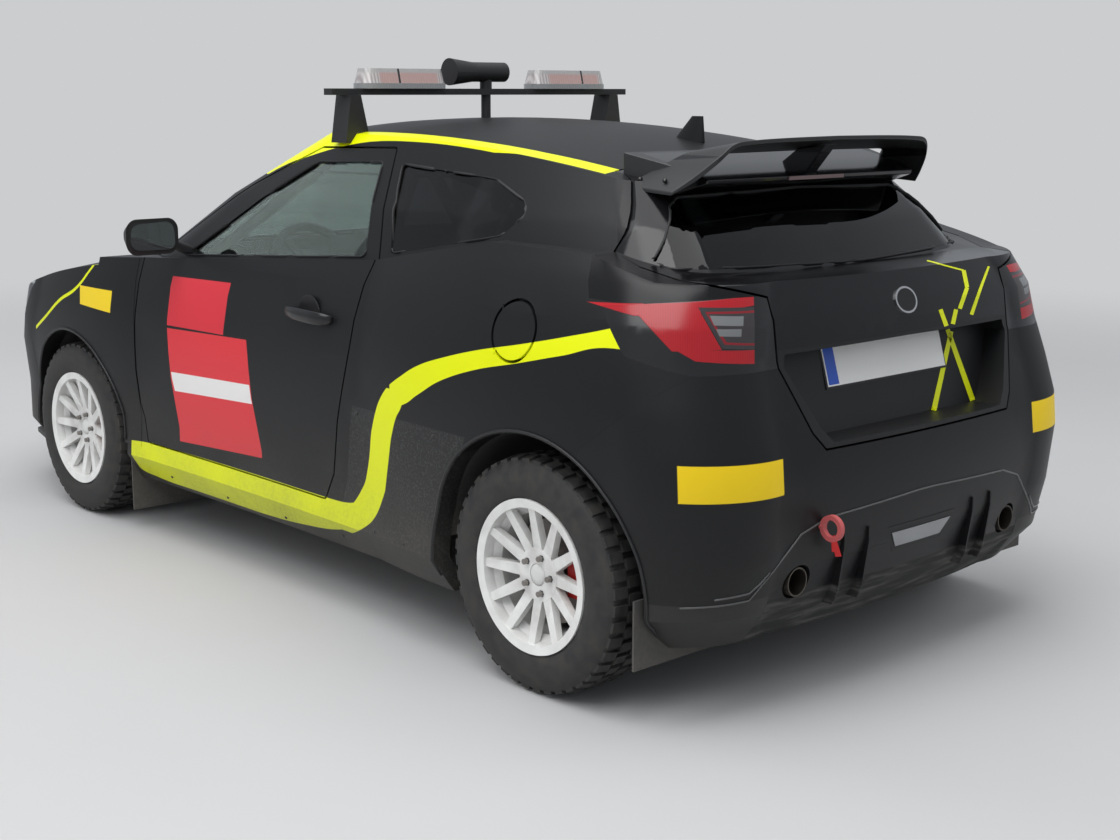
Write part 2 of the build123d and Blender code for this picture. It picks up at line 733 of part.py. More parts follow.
def fitted(low, high):
    """A plate cut to the inside of the body."""
    with BuildPart() as plate:
        add(inner_form.part)
        add(slab(low, high), mode=Mode.INTERSECT)
    return plate.part


def wheelhouse(axle_y, radius, wall, foot_z):
    """The left wheel's housing: a half drum closed on its inner side."""
    with BuildPart() as house:
        add(cylinder_x((axle_y, tyre_radius), radius + wall, arch_inner_x - wall, 1000))
        add(cylinder_x((axle_y, tyre_radius), radius, arch_inner_x, 1000), mode=Mode.SUBTRACT)
        add(inner_form.part, mode=Mode.INTERSECT)
        add(slab((0, axle_y - 600, foot_z), (1000, axle_y + 600, 900)), mode=Mode.INTERSECT)
    return house.part


house_wall = 7
tower_top_z = 866
kingpin_foot = (716, 190)
kingpin_head = (596, tower_top_z)
tower_half = 100
with BuildPart() as front_house:
    add(wheelhouse(front_axle_y, front_arch_radius, house_wall, floor_z))
    add(slab((500, front_axle_y - tower_half, 600), (690, front_axle_y + tower_half, tower_top_z)))
    add(slab((506, front_axle_y - tower_half + 6, 500), (684, front_axle_y + tower_half - 6, tower_top_z - 6)), mode=Mode.SUBTRACT)
    add(cylinder_x((front_axle_y, tyre_radius), front_arch_radius, arch_inner_x, 1000), mode=Mode.SUBTRACT)
tunnel_half = 120
tunnel_top_z = 330
floor_top_z = floor_z + floor_thickness
with BuildPart() as rear_house:
    add(wheelhouse(rear_axle_y, rear_arch_radius, house_wall, arm_top_z + 15))
with BuildPart() as floor_side:
    add(fitted((tunnel_half + seam, firewall_y, floor_z), (1000, boot_front_y - 10 - seam, floor_top_z)))
    add(slab((540, -1000, 190), (1000, front_flap_y + seam, 330)), mode=Mode.SUBTRACT)
    add(cylinder_x((front_axle_y, tyre_radius), front_arch_radius + house_wall + seam, arch_inner_x - house_wall - seam, 1000), mode=Mode.SUBTRACT)
with BuildPart() as firewall:
    add(fitted((-1000, firewall_y, floor_top_z + seam), (1000, firewall_y + 10, 940)))
    for side in (-1, 1):
        inner = side * (arch_inner_x - house_wall - seam)
        outer = side * 1000
        drum = cylinder_x((front_axle_y, tyre_radius), front_arch_radius + house_wall + seam, min(inner, outer), max(inner, outer))
        add(drum, mode=Mode.SUBTRACT)
        y, z = bonnet_hinge
        strap = [(y - 4, z), (y - 4, z - 52), (firewall_y + 5, z - 60), (firewall_y + 5, z - 43), (y + 8, z - 40), (y + 4, z)]
        add(eye_strap(strap, bonnet_hinge, lid_eye_radius, lid_pin_radius, side * lid_hinge_x["bonnet"]))
with BuildPart() as floor_pan:
    add(floor_side.part)
    add(other_side(floor_side.part))
    add(firewall.part)
    add(slab((-tunnel_half, firewall_y + 10 + seam, floor_z), (tunnel_half, boot_front_y - 10 - seam, tunnel_top_z)))
    add(slab((10 - tunnel_half, firewall_y, floor_z), (tunnel_half - 10, boot_front_y, tunnel_top_z - 10)), mode=Mode.SUBTRACT)
    add(fitted((-1000, boot_front_y - 10, floor_z), (1000, boot_front_y, boot_floor_z - seam)))
    add(fitted((house_wall + seam - arch_inner_x, boot_front_y - 10, boot_floor_z), (arch_inner_x - house_wall - seam, boot_rear_y, boot_floor_z + 12)))
    add(rear_house.part)
    add(other_side(rear_house.part))
save(floor_pan.part, "floor_pan")

rail_x = 430
rail_half = 40
rail_z = 440

# One plain block for the engine and gearbox
with BuildPart() as engine_block:
    add(slab((-330, -1520, crossmember_top + seam), (330, -1120, 730)))
save(engine_block.part, "engine_block")

# Dashboard across the cabin
dash_side = [(-862, 700), (-862, 925), (-760, 962), (-610, 985), (-545, 960), (-540, 900), (-600, 760), (-700, 700)]
column_radius = 18
column_tilt = 24
wheel_ring_radius = 170
wheel_ring_tube = 15
wheel_middle = Plane(origin=(370, -300, 935), z_dir=(0, math.cos(math.radians(column_tilt)), math.sin(math.radians(column_tilt))))
with BuildPart() as dashboard:
    add(inner_form.part)
    add(side_prism(dash_side, -1000, 1000, radius=16), mode=Mode.INTERSECT)
    add(slab((-pillar_x + seam, -1000, 600), (pillar_x - seam, 0, 1100)), mode=Mode.INTERSECT)
    add(tube(tuple(wheel_middle.origin), tuple(wheel_middle.origin - wheel_middle.z_dir * 400), column_radius + fit_gap), mode=Mode.SUBTRACT)
save(dashboard.part, "dashboard")

# Steering wheel: a rim, three spokes and a column that runs into the dashboard
with BuildPart() as steering_wheel:
    with BuildSketch(Plane(wheel_middle.origin, x_dir=wheel_middle.z_dir, z_dir=wheel_middle.x_dir)):
        with Locations((0, wheel_ring_radius)):
            Circle(wheel_ring_tube)
    revolve(axis=Axis(wheel_middle.origin, wheel_middle.z_dir), revolution_arc=360)
    with Locations(wheel_middle):
        with PolarLocations(0, 3, start_angle=30):
            with Locations((wheel_ring_radius / 2, 0, -6)):
                Box(wheel_ring_radius - 12, 26, 6)
        Cylinder(40, 26)
        with Locations((0, 0, -165)):
            Cylinder(column_radius, 330)
save(steering_wheel.part, "steering_wheel")

# Seats: two shells with side bolsters and head wings
seat_x = 370
seat_y = 40
seat_base_z = 300
seat_width = 480
bolster = 60
seat_back_side = [(-20, 0), (90, 0), (260, 640), (160, 640), (40, 120)]
with BuildPart() as seats:
    for side in (-1, 1):
        middle = side * seat_x
        left, right = middle - seat_width / 2, middle + seat_width / 2
        add(slab((left, seat_y - 460, seat_base_z), (right, seat_y + 60, seat_base_z + 60)))
        add(slab((left, seat_y - 440, seat_base_z), (left + bolster, seat_y + 60, seat_base_z + 190)))
        add(slab((right - bolster, seat_y - 440, seat_base_z), (right, seat_y + 60, seat_base_z + 190)))
        back = [(seat_y - 20, seat_base_z), (seat_y + 70, seat_base_z), (seat_y + 270, seat_base_z + 830), (seat_y + 190, seat_base_z + 830)]
        wing = [(seat_y - 20, seat_base_z), (seat_y + 40, seat_base_z), (seat_y + 220, seat_base_z + 640), (seat_y + 20, seat_base_z + 560), (seat_y - 110, seat_base_z + 120)]
        head = [(seat_y + 140, seat_base_z + 640), (seat_y + 230, seat_base_z + 640), (seat_y + 270, seat_base_z + 830), (seat_y + 40, seat_base_z + 800), (seat_y + 30, seat_base_z + 690)]
        add(side_prism(back, left + 30, right - 30))
        add(side_prism(wing, left, left + bolster))
        add(side_prism(wing, right - bolster, right))
        add(side_prism(head, left + 40, left + 85))
        add(side_prism(head, right - 85, right - 40))
        add(slab((left + 40, seat_y - 420, floor_z + floor_thickness), (left + 80, seat_y + 40, seat_base_z)))
        add(slab((right - 80, seat_y - 420, floor_z + floor_thickness), (right - 40, seat_y + 40, seat_base_z)))
save(seats.part, "seats")

# Roll cage of straight tubes, each coped to those already there
cage_tube = 20
cage_inset = 0.3
hoop_y = 470
# tube name: start, end, and whether the other side has one as well
cage_tubes = {
    "main hoop leg": ((700, hoop_y, floor_z), (640, hoop_y, 1060), True),
    "main hoop upper leg": ((640, hoop_y, 1060), (500, hoop_y, 1372), True),
    "main hoop top": ((-500, hoop_y, 1372), (500, hoop_y, 1372), False),
    "roof rail": ((500, hoop_y, 1372), (455, 0, 1366), True),
    "screen header": ((-455, 0, 1366), (455, 0, 1366), False),
    "pillar tube": ((455, 0, 1366), (650, -508, 1000), True),
    "front leg": ((650, -508, 1000), (690, -560, floor_z), True),
    "rear stay": ((480, hoop_y, 1350), (437, 1260, boot_floor_z - 20), True),
    "door bar": ((680, -543, 500), (690, hoop_y, 420), True),
    "hoop brace": ((-620, hoop_y, 960), (620, hoop_y, 960), False),
    "hoop diagonal": ((-600, hoop_y, 960), (470, hoop_y, 1350), False),
}


with BuildPart() as roll_cage:
    for start, end, paired in cage_tubes.values():
        add(tube(start, end, cage_tube))
        if paired:
            add(tube((-start[0], *start[1:]), (-end[0], *end[1:]), cage_tube))
    add(slab((-1000, -1000, 0), (1000, boot_front_y, floor_z + floor_thickness + seam)), mode=Mode.SUBTRACT)
    add(slab((-1000, boot_front_y, 0), (1000, 1700, boot_floor_z + 12 + seam)), mode=Mode.SUBTRACT)
save(roll_cage.part, "roll_cage")

# Wheels, built about the origin with +X outwards
rim_half = barrel_width / 2 + flange_thickness
well_radius = 172
rim_profile = [(rim_half, flange_radius), (rim_half - 9, flange_radius), (rim_half - 12, barrel_radius), (62, barrel_radius - 2),
               (44, well_radius), (-24, well_radius), (-42, barrel_radius - 2), (12 - rim_half, barrel_radius), (9 - rim_half, flange_radius),
               (-rim_half, flange_radius), (3 - rim_half, 182), (-44, 180), (-28, 164), (46, 164), (64, 180), (rim_half - 4, 184)]
hub_face_x = 64
mount_face_x = 38
spindle_radius = 20
spindle_end_x = 48
with BuildPart() as rim:
    with BuildSketch(Plane.XY):
        with BuildLine():
            Polyline(*rim_profile, close=True)
        make_face()
    revolve(axis=Axis.X, revolution_arc=360)
    with BuildSketch(Plane.YZ.offset(mount_face_x)):
        Circle(hub_boss_radius)
    extrude(amount=hub_face_x - mount_face_x, taper=8)
    for number in range(spoke_count):
        turn = 360 / spoke_count * number
        with BuildSketch(Plane.XZ.rotated((turn, 0, 0)).offset(-70)):
            with Locations((51, 0)):
                Rectangle(24, 32)
        with BuildSketch(Plane.XZ.rotated((turn, 0, 0)).offset(-184.5)):
            with Locations((77, 0)):
                Rectangle(20, 24)
        loft()
    with BuildSketch(Plane.YZ.offset(mount_face_x - 1)):
        Circle(centre_bore_radius)
        with PolarLocations(lug_circle_radius, lug_count):
            Circle(lug_radius)
    extrude(amount=60, mode=Mode.SUBTRACT)

with BuildPart() as brake_disc:
    with BuildSketch(Plane.YZ.offset(disc_x - disc_thickness / 2)):
        Circle(disc_radius)
        Circle(bell_radius, mode=Mode.SUBTRACT)
    extrude(amount=disc_thickness)
    with BuildSketch(Plane.YZ.offset(disc_x - disc_thickness / 2)):
        Circle(bell_radius)
    extrude(amount=mount_face_x - disc_x + disc_thickness / 2)
    with BuildSketch(Plane.YZ.offset(disc_x - disc_thickness / 2)):
        Circle(bell_radius - 8)
    extrude(amount=mount_face_x - disc_x + disc_thickness / 2 - 8, mode=Mode.SUBTRACT)
    with BuildSketch(Plane.YZ.offset(mount_face_x)):
        Circle(centre_bore_radius - fit_gap)
    extrude(amount=20)
    with BuildSketch(Plane.YZ.offset(mount_face_x)):
        with PolarLocations(lug_circle_radius, lug_count):
            Circle(lug_radius - fit_gap)
    extrude(amount=40)
    with BuildSketch(Plane.YZ.offset(0)):
        Circle(spindle_radius + fit_gap)
    extrude(amount=spindle_end_x + 2, mode=Mode.SUBTRACT)

bead_radius = barrel_radius + fit_gap
bead_x = rim_half - flange_thickness - fit_gap
with BuildPart() as tyre:
    with BuildSketch(Plane.XY):
        with BuildLine():
            Line((bead_x - 3, bead_radius), (bead_x, flange_radius))
            ThreePointArc((bead_x, flange_radius), (tyre_width / 2, 262), (90, 306))
            ThreePointArc((90, 306), (85, 315), (74, tyre_radius - 1))
            Line((74, tyre_radius - 1), (0, tyre_radius))
            Line((0, tyre_radius), (0, 306))
            Line((0, 306), (66, 304))
            ThreePointArc((66, 304), (88, 262), (70, bead_radius + 14))
            Line((70, bead_radius + 14), (68, bead_radius))
            Line((68, bead_radius), (bead_x - 3, bead_radius))
        make_face()
        mirror(about=Plane.YZ)
    revolve(axis=Axis.X, revolution_arc=360)

wheel_spots = {
    "front_left": (front_track / 2, front_axle_y, 0),
    "front_right": (-front_track / 2, front_axle_y, 180),
    "rear_left": (rear_track / 2, rear_axle_y, 0),
    "rear_right": (-rear_track / 2, rear_axle_y, 180),
}
for spot, (x, y, turn) in wheel_spots.items():
    for piece, name in ((rim, "rim"), (tyre, "tyre"), (brake_disc, "brake_disc")):
        with BuildPart() as placed:
            with Locations(Location((x, y, tyre_radius), (0, 0, turn))):
                add(piece.part)
        save(placed.part, f"{name}_{spot}")

# Front uprights: knuckle, strut, caliper, and a stud at each end of the steering axis
kingpin_lean = math.degrees(math.atan2(kingpin_foot[0] - kingpin_head[0], kingpin_head[1] - kingpin_foot[1]))
stud_radius = 10
front_x = front_track / 2
rear_x = rear_track / 2
hub_inner = 62
hub_outer = 26
ball_gap = 6


def on_kingpin(z_from, z_to, radius):
    """A round bar on the left steering axis, between two heights."""
    lean = math.tan(math.radians(kingpin_lean))
    ends = [(kingpin_foot[0] - (z - kingpin_foot[1]) * lean, front_axle_y, z) for z in (z_from, z_to)]
    return tube(ends[0], ends[1], radius)


def caliper(x, y, bracket_side):
    """A caliper straddling the left disc behind its axle, with a bracket to the hub."""
    face = x + disc_x - disc_thickness / 2
    clear = 6
    with BuildPart() as block:
        add(slab((face - 44, y + 84, tyre_radius - 46), (face + disc_thickness + 24, y + 150, tyre_radius + 46)))
        with BuildPart(mode=Mode.PRIVATE) as room:
            add(cylinder_x((y, tyre_radius), disc_radius + clear, face - clear, face + disc_thickness + clear))
        add(room.part, mode=Mode.SUBTRACT)
        add(slab((x - hub_inner, y + 40, tyre_radius - 22), (x - hub_outer, y + 90, tyre_radius + 22)))
    return block.part


arm_end_z = (172, 198)
arm_root_x = 470
with BuildPart() as front_upright_left:
    add(cylinder_x((front_axle_y, tyre_radius), 58, front_x - hub_inner, front_x - hub_outer))
    add(cylinder_x((front_axle_y, tyre_radius), spindle_radius, front_x - hub_outer, front_x + spindle_end_x))
    add(slab((front_x - hub_inner, front_axle_y - 28, arm_end_z[1] + ball_gap), (front_x - hub_inner + 28, front_axle_y + 28, tyre_radius + 150)))
    add(slab((front_x - 150, front_axle_y - 26, tyre_radius + 104), (front_x - hub_inner, front_axle_y + 26, tyre_radius + 146)))
    add(on_kingpin(arm_end_z[0] + 2, arm_end_z[1] + ball_gap + 14, stud_radius))
    add(tube((642, front_axle_y, 396), (603, front_axle_y, 829), 25))
    add(tube((617, front_axle_y, 668), (603, front_axle_y, 829), 50))
    add(on_kingpin(820, tower_top_z - 20, 34))
    add(on_kingpin(830, tower_top_z + 10, stud_radius))
    add(caliper(front_x, front_axle_y, 1))
save(front_upright_left.part, "front_upright_left")
with BuildPart() as front_upright_right:
    add(other_side(front_upright_left.part))
save(front_upright_right.part, "front_upright_right")

# Rails, towers, crossmembers and lower arms ahead of the firewall
with BuildPart() as left_arm:
    with BuildSketch(Plane.XY.offset(arm_end_z[0])):
        with BuildLine():
            Polyline((arm_root_x, front_axle_y - 30), (kingpin_foot[0], front_axle_y - 20), (kingpin_foot[0], front_axle_y + 20), (arm_root_x, front_axle_y + 150), close=True)
        make_face()
    extrude(amount=arm_end_z[1] - arm_end_z[0])
    add(on_kingpin(*arm_end_z, 20))
    add(on_kingpin(arm_end_z[0] - 5, arm_end_z[1] + 5, stud_radius + fit_gap), mode=Mode.SUBTRACT)
with BuildPart() as left_house:
    add(front_house.part)
    add(on_kingpin(tower_top_z - 20, tower_top_z + 20, stud_radius + fit_gap), mode=Mode.SUBTRACT)
house_inner_x = arch_inner_x - house_wall
with BuildPart() as front_structure:
    add(left_house.part)
    add(left_arm.part)
    add(other_side(left_house.part))
    add(other_side(left_arm.part))
    for side in (-1, 1):
        add(slab((side * (rail_x - rail_half), -1800, rail_z - 50), (side * (house_inner_x - seam), firewall_y - seam, rail_z + 50)))
        for y in (front_axle_y - 90, front_axle_y + 150):
            add(slab((side * rail_x - 20, y - 20, crossmember_top + seam), (side * rail_x + 20, y + 20, rail_z - 50 - seam)))
        add(slab((side * rail_x - 10, -1826, rail_z + 60 + seam), (side * rail_x + 10, -1812, 690 - seam)))
    add(fitted((-1000, -1842, rail_z - 60), (1000, -1800 - seam, rail_z + 60)))
    add(fitted((-1000, -1842, 690), (1000, -1812, 730)))
    add(slab((seam - arm_root_x, front_axle_y - 110, arm_end_z[0]), (arm_root_x - seam, front_axle_y + 170, crossmember_top)))
save(front_structure.part, "front_structure")

rear_spring_x = 420

# Rear axle: trailing arms, crossbeam, springs, dampers, hub carriers and calipers
with BuildPart() as rear_side:
    add(cylinder_x((rear_axle_y, tyre_radius), 56, rear_x - hub_inner, rear_x - hub_outer))
    add(cylinder_x((rear_axle_y, tyre_radius), spindle_radius, rear_x - hub_outer, rear_x + spindle_end_x))
    with BuildPart(mode=Mode.PRIVATE) as damper:
        add(tube((640, rear_axle_y + 30, 320), (610, rear_axle_y + 30, 720), 24))
        add(cylinder_x((rear_axle_y, tyre_radius), rear_arch_radius - seam, 480, 1000), mode=Mode.INTERSECT)
    add(damper.part)
    add(slab((rear_x - 175, boot_front_y + seam, arm_top_z - 60), (rear_x - 125, rear_axle_y + 40, arm_top_z)))
    add(slab((rear_x - 130, rear_axle_y - 35, 285), (rear_x - hub_inner, rear_axle_y + 35, arm_top_z)))
    add(tube((rear_spring_x, 1240, 300), (rear_spring_x, 1240, boot_floor_z - seam), 45))
    add(caliper(rear_x, rear_axle_y, 1))
with BuildPart() as rear_axle:
    add(rear_side.part)
    add(other_side(rear_side.part))
    add(tube((-620, 1240, 300), (620, 1240, 300), 34))
save(rear_axle.part, "rear_axle")

# Exhaust: a silencer across the tail and two tips
tip_end_y = 1950
tip_wall = 4
silencer = ((-420, 1600, 262), (420, 1830, 400))
with BuildPart() as exhaust:
    add(slab(*silencer))
    for side in (-1, 1):
        add(tube((side * exhaust_x, 1790, exhaust_z), (side * exhaust_x, tip_end_y, exhaust_z), exhaust_radius))
        add(slab((side * 300 - 10, 1690, 390), (side * 300 + 10, 1710, boot_floor_z - seam)))
        add(slab((side * 380, 1788, 305), (side * (exhaust_x + 20), 1830, 390)))
    for side in (-1, 1):
        bore_start = (side * exhaust_x, 1834, exhaust_z)
        add(tube(bore_start, (side * exhaust_x, tip_end_y + 5, exhaust_z), exhaust_radius - tip_wall), mode=Mode.SUBTRACT)
save(exhaust.part, "exhaust")

# Mud flaps behind each wheel
flap_thickness = 6
with BuildPart() as mud_flaps:
    for side in (-1, 1):
        add(slab((side * 560, front_flap_y - seam - flap_thickness, 76), (side * 850, front_flap_y - seam, 322)))
        add(slab((side * 512, rear_flap_y - flap_thickness, 155), (side * 862, rear_flap_y, 336)))
save(mud_flaps.part, "mud_flaps")

# Roof rack: a bar on two feet, a post in the middle, and a horn siren on top of it
bar_y = 182
bar_z = 1556
bar_half = 636
foot_x = 566
with BuildPart() as roof_rack:
    add(slab((-bar_half, bar_y - 22, bar_z - 10), (bar_half, bar_y + 22, bar_z + 10)))
    for side in (-1, 1):
        with BuildSketch(Plane.XZ.offset(-bar_y - 40)):
            with BuildLine():
                Polyline((side * (foot_x - 26), bar_z - 10), (side * (foot_x + 12), bar_z - 10), (side * (foot_x + 34), 1400),
                         (side * (foot_x - 60), 1400), close=True)
            make_face()
        extrude(amount=80)
    add(tube((0, bar_y, 1440), (0, bar_y, bar_z), 16))
    add(tube((0, bar_y, bar_z), (0, bar_y, bar_z + 40), 20))
    add(tube((-78, bar_y, 1620), (60, bar_y, 1620), 32))
    with BuildSketch(Plane.YZ.offset(60)):
        with Locations((bar_y, 1620)):
            Circle(32)
    with BuildSketch(Plane.YZ.offset(156)):
        with Locations((bar_y, 1620)):
            Circle(44)
    loft()
    add(outer_form.part, mode=Mode.SUBTRACT)
save(roof_rack.part, "roof_rack")

with BuildPart() as beacons:
    for side in (-1, 1):
        with BuildSketch(Plane.XY.offset(bar_z + 10)):
            with Locations((side * 357, bar_y)):
                SlotOverall(340, 110)
        extrude(amount=16)
        with BuildSketch(Plane.XY.offset(bar_z + 26)):
            with Locations((side * 357, bar_y)):
                SlotOverall(334, 104)
        extrude(amount=46, taper=14)
save(beacons.part, "beacons")

# Towing ring at the tail
tow_x = 418
tow_z = 493
tow_ring_radius = 28
with BuildPart() as tow_loop:
    with BuildSketch(Plane.YZ.offset(tow_x)):
        with Locations((2012, tow_z)):
            Circle(tow_ring_radius + 6)
            Circle(tow_ring_radius - 6, mode=Mode.SUBTRACT)
    extrude(amount=7, both=True)
    add(tube((tow_x, 1930, tow_z), (tow_x, 2012 - tow_ring_radius, tow_z), 9))
    add(rear_bumper.part, mode=Mode.SUBTRACT)
save(tow_loop.part.solids().sort_by(SortBy.VOLUME)[-1], "tow_loop")

# Roof spoiler: a base on the tailgate, end fins, inner struts and a raised blade
with BuildPart() as roof_spoiler:
    with BuildPart(mode=Mode.PRIVATE) as base:
        add(side_prism([(1345, 1300), (1345, 1404), (1480, 1368), (1572, 1334), (1566, 1318), (1500, 1300)], -500, 500))
        add(plan_prism([(-505, 1340), (505, 1340), (440, 1575), (-440, 1575)], 1200, 1500), mode=Mode.INTERSECT)
        add(outer_form.part, mode=Mode.SUBTRACT)
    add(base.part)
    blade_side = [(1446, 1404), (1520, 1424), (1600, 1430), (1664, 1424), (1664, 1414), (1590, 1412), (1500, 1400), (1450, 1390)]
    add(side_prism(blade_side, -417, 417))
    for side in (-1, 1):
        with BuildSketch(Plane.YZ.offset(side * 417)):
            with BuildLine():
                Polyline(*blade_side, close=True)
            make_face()
        with BuildSketch(Plane.YZ.offset(side * 500)):
            with BuildLine():
                Polyline(*[(y - 60, z - 66) for y, z in blade_side], close=True)
            make_face()
        loft()
        add(side_prism([(1450, 1350), (1462, 1410), (1600, 1414), (1540, 1325)], side * 200 - 6, side * 200 + 6))
    add(outer_form.part, mode=Mode.SUBTRACT)
save(roof_spoiler.part, "roof_spoiler")
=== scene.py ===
import math

import bmesh
import bpy
from mathutils import Matrix, Vector
from mathutils.bvhtree import BVHTree


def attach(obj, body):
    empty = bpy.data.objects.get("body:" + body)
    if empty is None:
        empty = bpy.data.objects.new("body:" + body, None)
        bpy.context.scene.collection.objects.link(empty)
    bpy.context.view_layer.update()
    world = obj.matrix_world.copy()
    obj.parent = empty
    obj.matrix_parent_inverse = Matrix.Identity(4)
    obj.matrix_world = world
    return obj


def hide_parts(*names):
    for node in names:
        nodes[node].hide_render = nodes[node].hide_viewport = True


bl_info = {
    "name": "Rally Hatch Dresser",
    "version": (1, 0, 0),
    "blender": (4, 5, 0),
    "location": "View3D > Sidebar > Rally",
    "description": "Dresses a three-door rally hatchback with its finishes, trim and stage",
    "category": "Object",
}

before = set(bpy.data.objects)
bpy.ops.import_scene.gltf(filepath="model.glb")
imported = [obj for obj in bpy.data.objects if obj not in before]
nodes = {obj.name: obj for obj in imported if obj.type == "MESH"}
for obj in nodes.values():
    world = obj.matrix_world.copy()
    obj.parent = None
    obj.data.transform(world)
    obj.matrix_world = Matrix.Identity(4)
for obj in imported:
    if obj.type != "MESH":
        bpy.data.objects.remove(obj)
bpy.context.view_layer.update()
finishes = {}

# Places and outlines, in metres in the car's frame

FRONT_AXLE, REAR_AXLE = -1.17, 1.39
WHEEL_Z = 0.32
WHEELS = {
    "front_left": (0.765, FRONT_AXLE, 1),
    "front_right": (-0.765, FRONT_AXLE, -1),
    "rear_left": (0.785, REAR_AXLE, 1),
    "rear_right": (-0.785, REAR_AXLE, -1),
}
SIDES = {"left": 1, "right": -1}
EDGE_SOFTNESS = 0.0007
# clear of the car's side and tail: points are dropped on to it from there
BESIDE, BEHIND = 1.3, 2.5
FORWARD = Vector((0, -1, 0))

# stripe along the sill and up behind the door, seen from the side: y, lower edge, upper edge
SILL_STRIPE = [
    (-0.76, 0.236, 0.338), (-0.6, 0.206, 0.345), (0.0, 0.206, 0.35), (0.3, 0.228, 0.35),
    (0.5, 0.262, 0.352), (0.6, 0.3, 0.38),
]
# its rise, by height: z, front edge, rear edge
RISE_STRIPE = [
    (0.262, 0.44, 0.555), (0.3, 0.5, 0.64), (0.345, 0.56, 0.7), (0.4, 0.612, 0.735),
    (0.5, 0.668, 0.775), (0.6, 0.703, 0.812), (0.66, 0.728, 0.838), (0.7, 0.752, 0.868),
    (0.74, 0.79, 0.88),
]
# and back to the tail lamp: y, lower edge, upper edge
HIP_STRIPE = [
    (0.806, 0.69, 0.752), (0.86, 0.7, 0.782), (0.95, 0.745, 0.826), (1.05, 0.796, 0.858),
    (1.2, 0.846, 0.897), (1.35, 0.88, 0.928), (1.5, 0.916, 0.962), (1.65, 0.95, 1.000),
    (1.74, 0.94, 1.03),
]
# the roof edge, between these heights, seen from above: y, inner edge, outer edge
ROOF_EDGE_Z = (1.29, 1.46)
ROOF_STRIPE = [
    (-0.3, 0.52, 0.66), (0.02, 0.505, 0.6), (0.25, 0.522, 0.585), (0.6, 0.525, 0.583),
    (0.95, 0.513, 0.57), (1.2, 0.496, 0.553), (1.315, 0.486, 0.543),
]
# thin line on the front wing: y, lower edge, upper edge
WING_STRIPE = [
    (-1.5, 0.655, 0.668), (-1.4, 0.702, 0.715), (-1.23, 0.79, 0.803), (-1.1, 0.842, 0.855),
    (-0.995, 0.918, 0.931), (-0.96, 0.955, 0.97),
]
# blank stickers, as (y, z), and the one at each corner of the tail, as (off the middle, z)
BUMPER_STICKER = [(1.852, 0.685), (1.969, 0.681), (1.974, 0.594), (1.858, 0.598)]
WING_STICKER = [(-1.063, 0.865), (-0.836, 0.864), (-0.844, 0.786), (-1.056, 0.798)]
CORNER_STICKER = [(0.818, 0.687), (0.556, 0.683), (0.558, 0.594), (0.82, 0.596)]
# blank panels on the door, with their colours
DOOR_PANELS = [
    ([(-0.469, 0.945), (-0.109, 0.953), (-0.127, 0.785), (-0.481, 0.78)], (0.62, 0.03, 0.045)),
    ([(-0.481, 0.77), (0.012, 0.785), (0.065, 0.409), (-0.445, 0.383)], (0.66, 0.035, 0.045)),
    ([(-0.462, 0.622), (0.026, 0.642), (0.037, 0.582), (-0.449, 0.558)], (0.78, 0.76, 0.75)),
]
# clear film ahead of the rear wheel, and the gloss corner by the tailgate, as (y, z)
STONE_FILM = [(0.6, 0.66), (1.16, 0.66), (1.02, 0.18), (0.48, 0.18)]
GLOSS_CORNER = [(1.372, 1.36), (1.54, 1.06), (2.05, 1.035), (2.05, 1.36)]
# the tail lamp's fields, seen from the rear corner: reach across that view, height
LAMP_RED = [
    [(-0.44, 1.051), (-0.846, 1.074), (-0.846, 1.051), (-0.552, 1.03)],
    [(-0.561, 1.033), (-0.703, 1.054), (-0.762, 0.954), (-0.641, 0.952)],
    [(-0.641, 0.96), (-0.846, 0.947), (-0.846, 0.914), (-0.697, 0.929)],
]
LAMP_TIP = [(-0.44, 1.051), (-0.575, 1.059), (-0.575, 1.028), (-0.552, 1.03)]
LAMP_INNER = [(-0.705, 1.053), (-0.846, 1.048), (-0.846, 0.949), (-0.763, 0.957)]
LAMP_LINE = [(-0.722, 1.043), (-0.846, 1.04), (-0.846, 0.958), (-0.769, 0.966)]
LAMP_DARK = [(-0.729, 1.038), (-0.846, 1.035), (-0.846, 0.963), (-0.774, 0.971)]
LAMP_BARS = [
    [(-0.733, 1.034), (-0.818, 1.029), (-0.816, 1.007), (-0.743, 1.012)],
    [(-0.748, 1.003), (-0.812, 1.000), (-0.811, 0.982), (-0.756, 0.986)],
]
# where a finish changes over a piece: the places where the change starts and ends
SIDE_START = (0.44, 0.47)
LAMP_TIP_START, CORNER_STICKER_START = (1.5, 1.501), (1.8, 1.801)
BUMPER_FOOT, DIFFUSER_SKIRT = (0.331, 0.328), (0.318, 0.312)
TAILGATE_LIP = (0.932, 0.942)
BLADE_UNDERSIDE, BLADE_SPAN = (1.402, 1.398), (0.452, 0.448)
CALIPER_Y, CALIPER_Z, CALIPER_START = (0.0835, 0.1505), (0.273, 0.367), (0.69, 0.692)
# the red lamp round a beacon's middle, the joint of its lens, its top and its foot
BEACON_MIDDLE = 0.357
BEACON_LAMP, BEACON_JOINT = (0.125, 0.105), (0.392, 0.4)
BEACON_TOP, BEACON_FOOT = (1.612, 1.618), (1.5835, 1.5825)
# the headlamp's projectors as (off the middle, start and end of the rim), and the bar over them
PROJECTORS = ((0.6, 0.045, 0.04), (0.715, 0.04, 0.035))
PROJECTOR_Z, HEADLAMP_BAR = (0.745, 0.815), (0.826, 0.838)

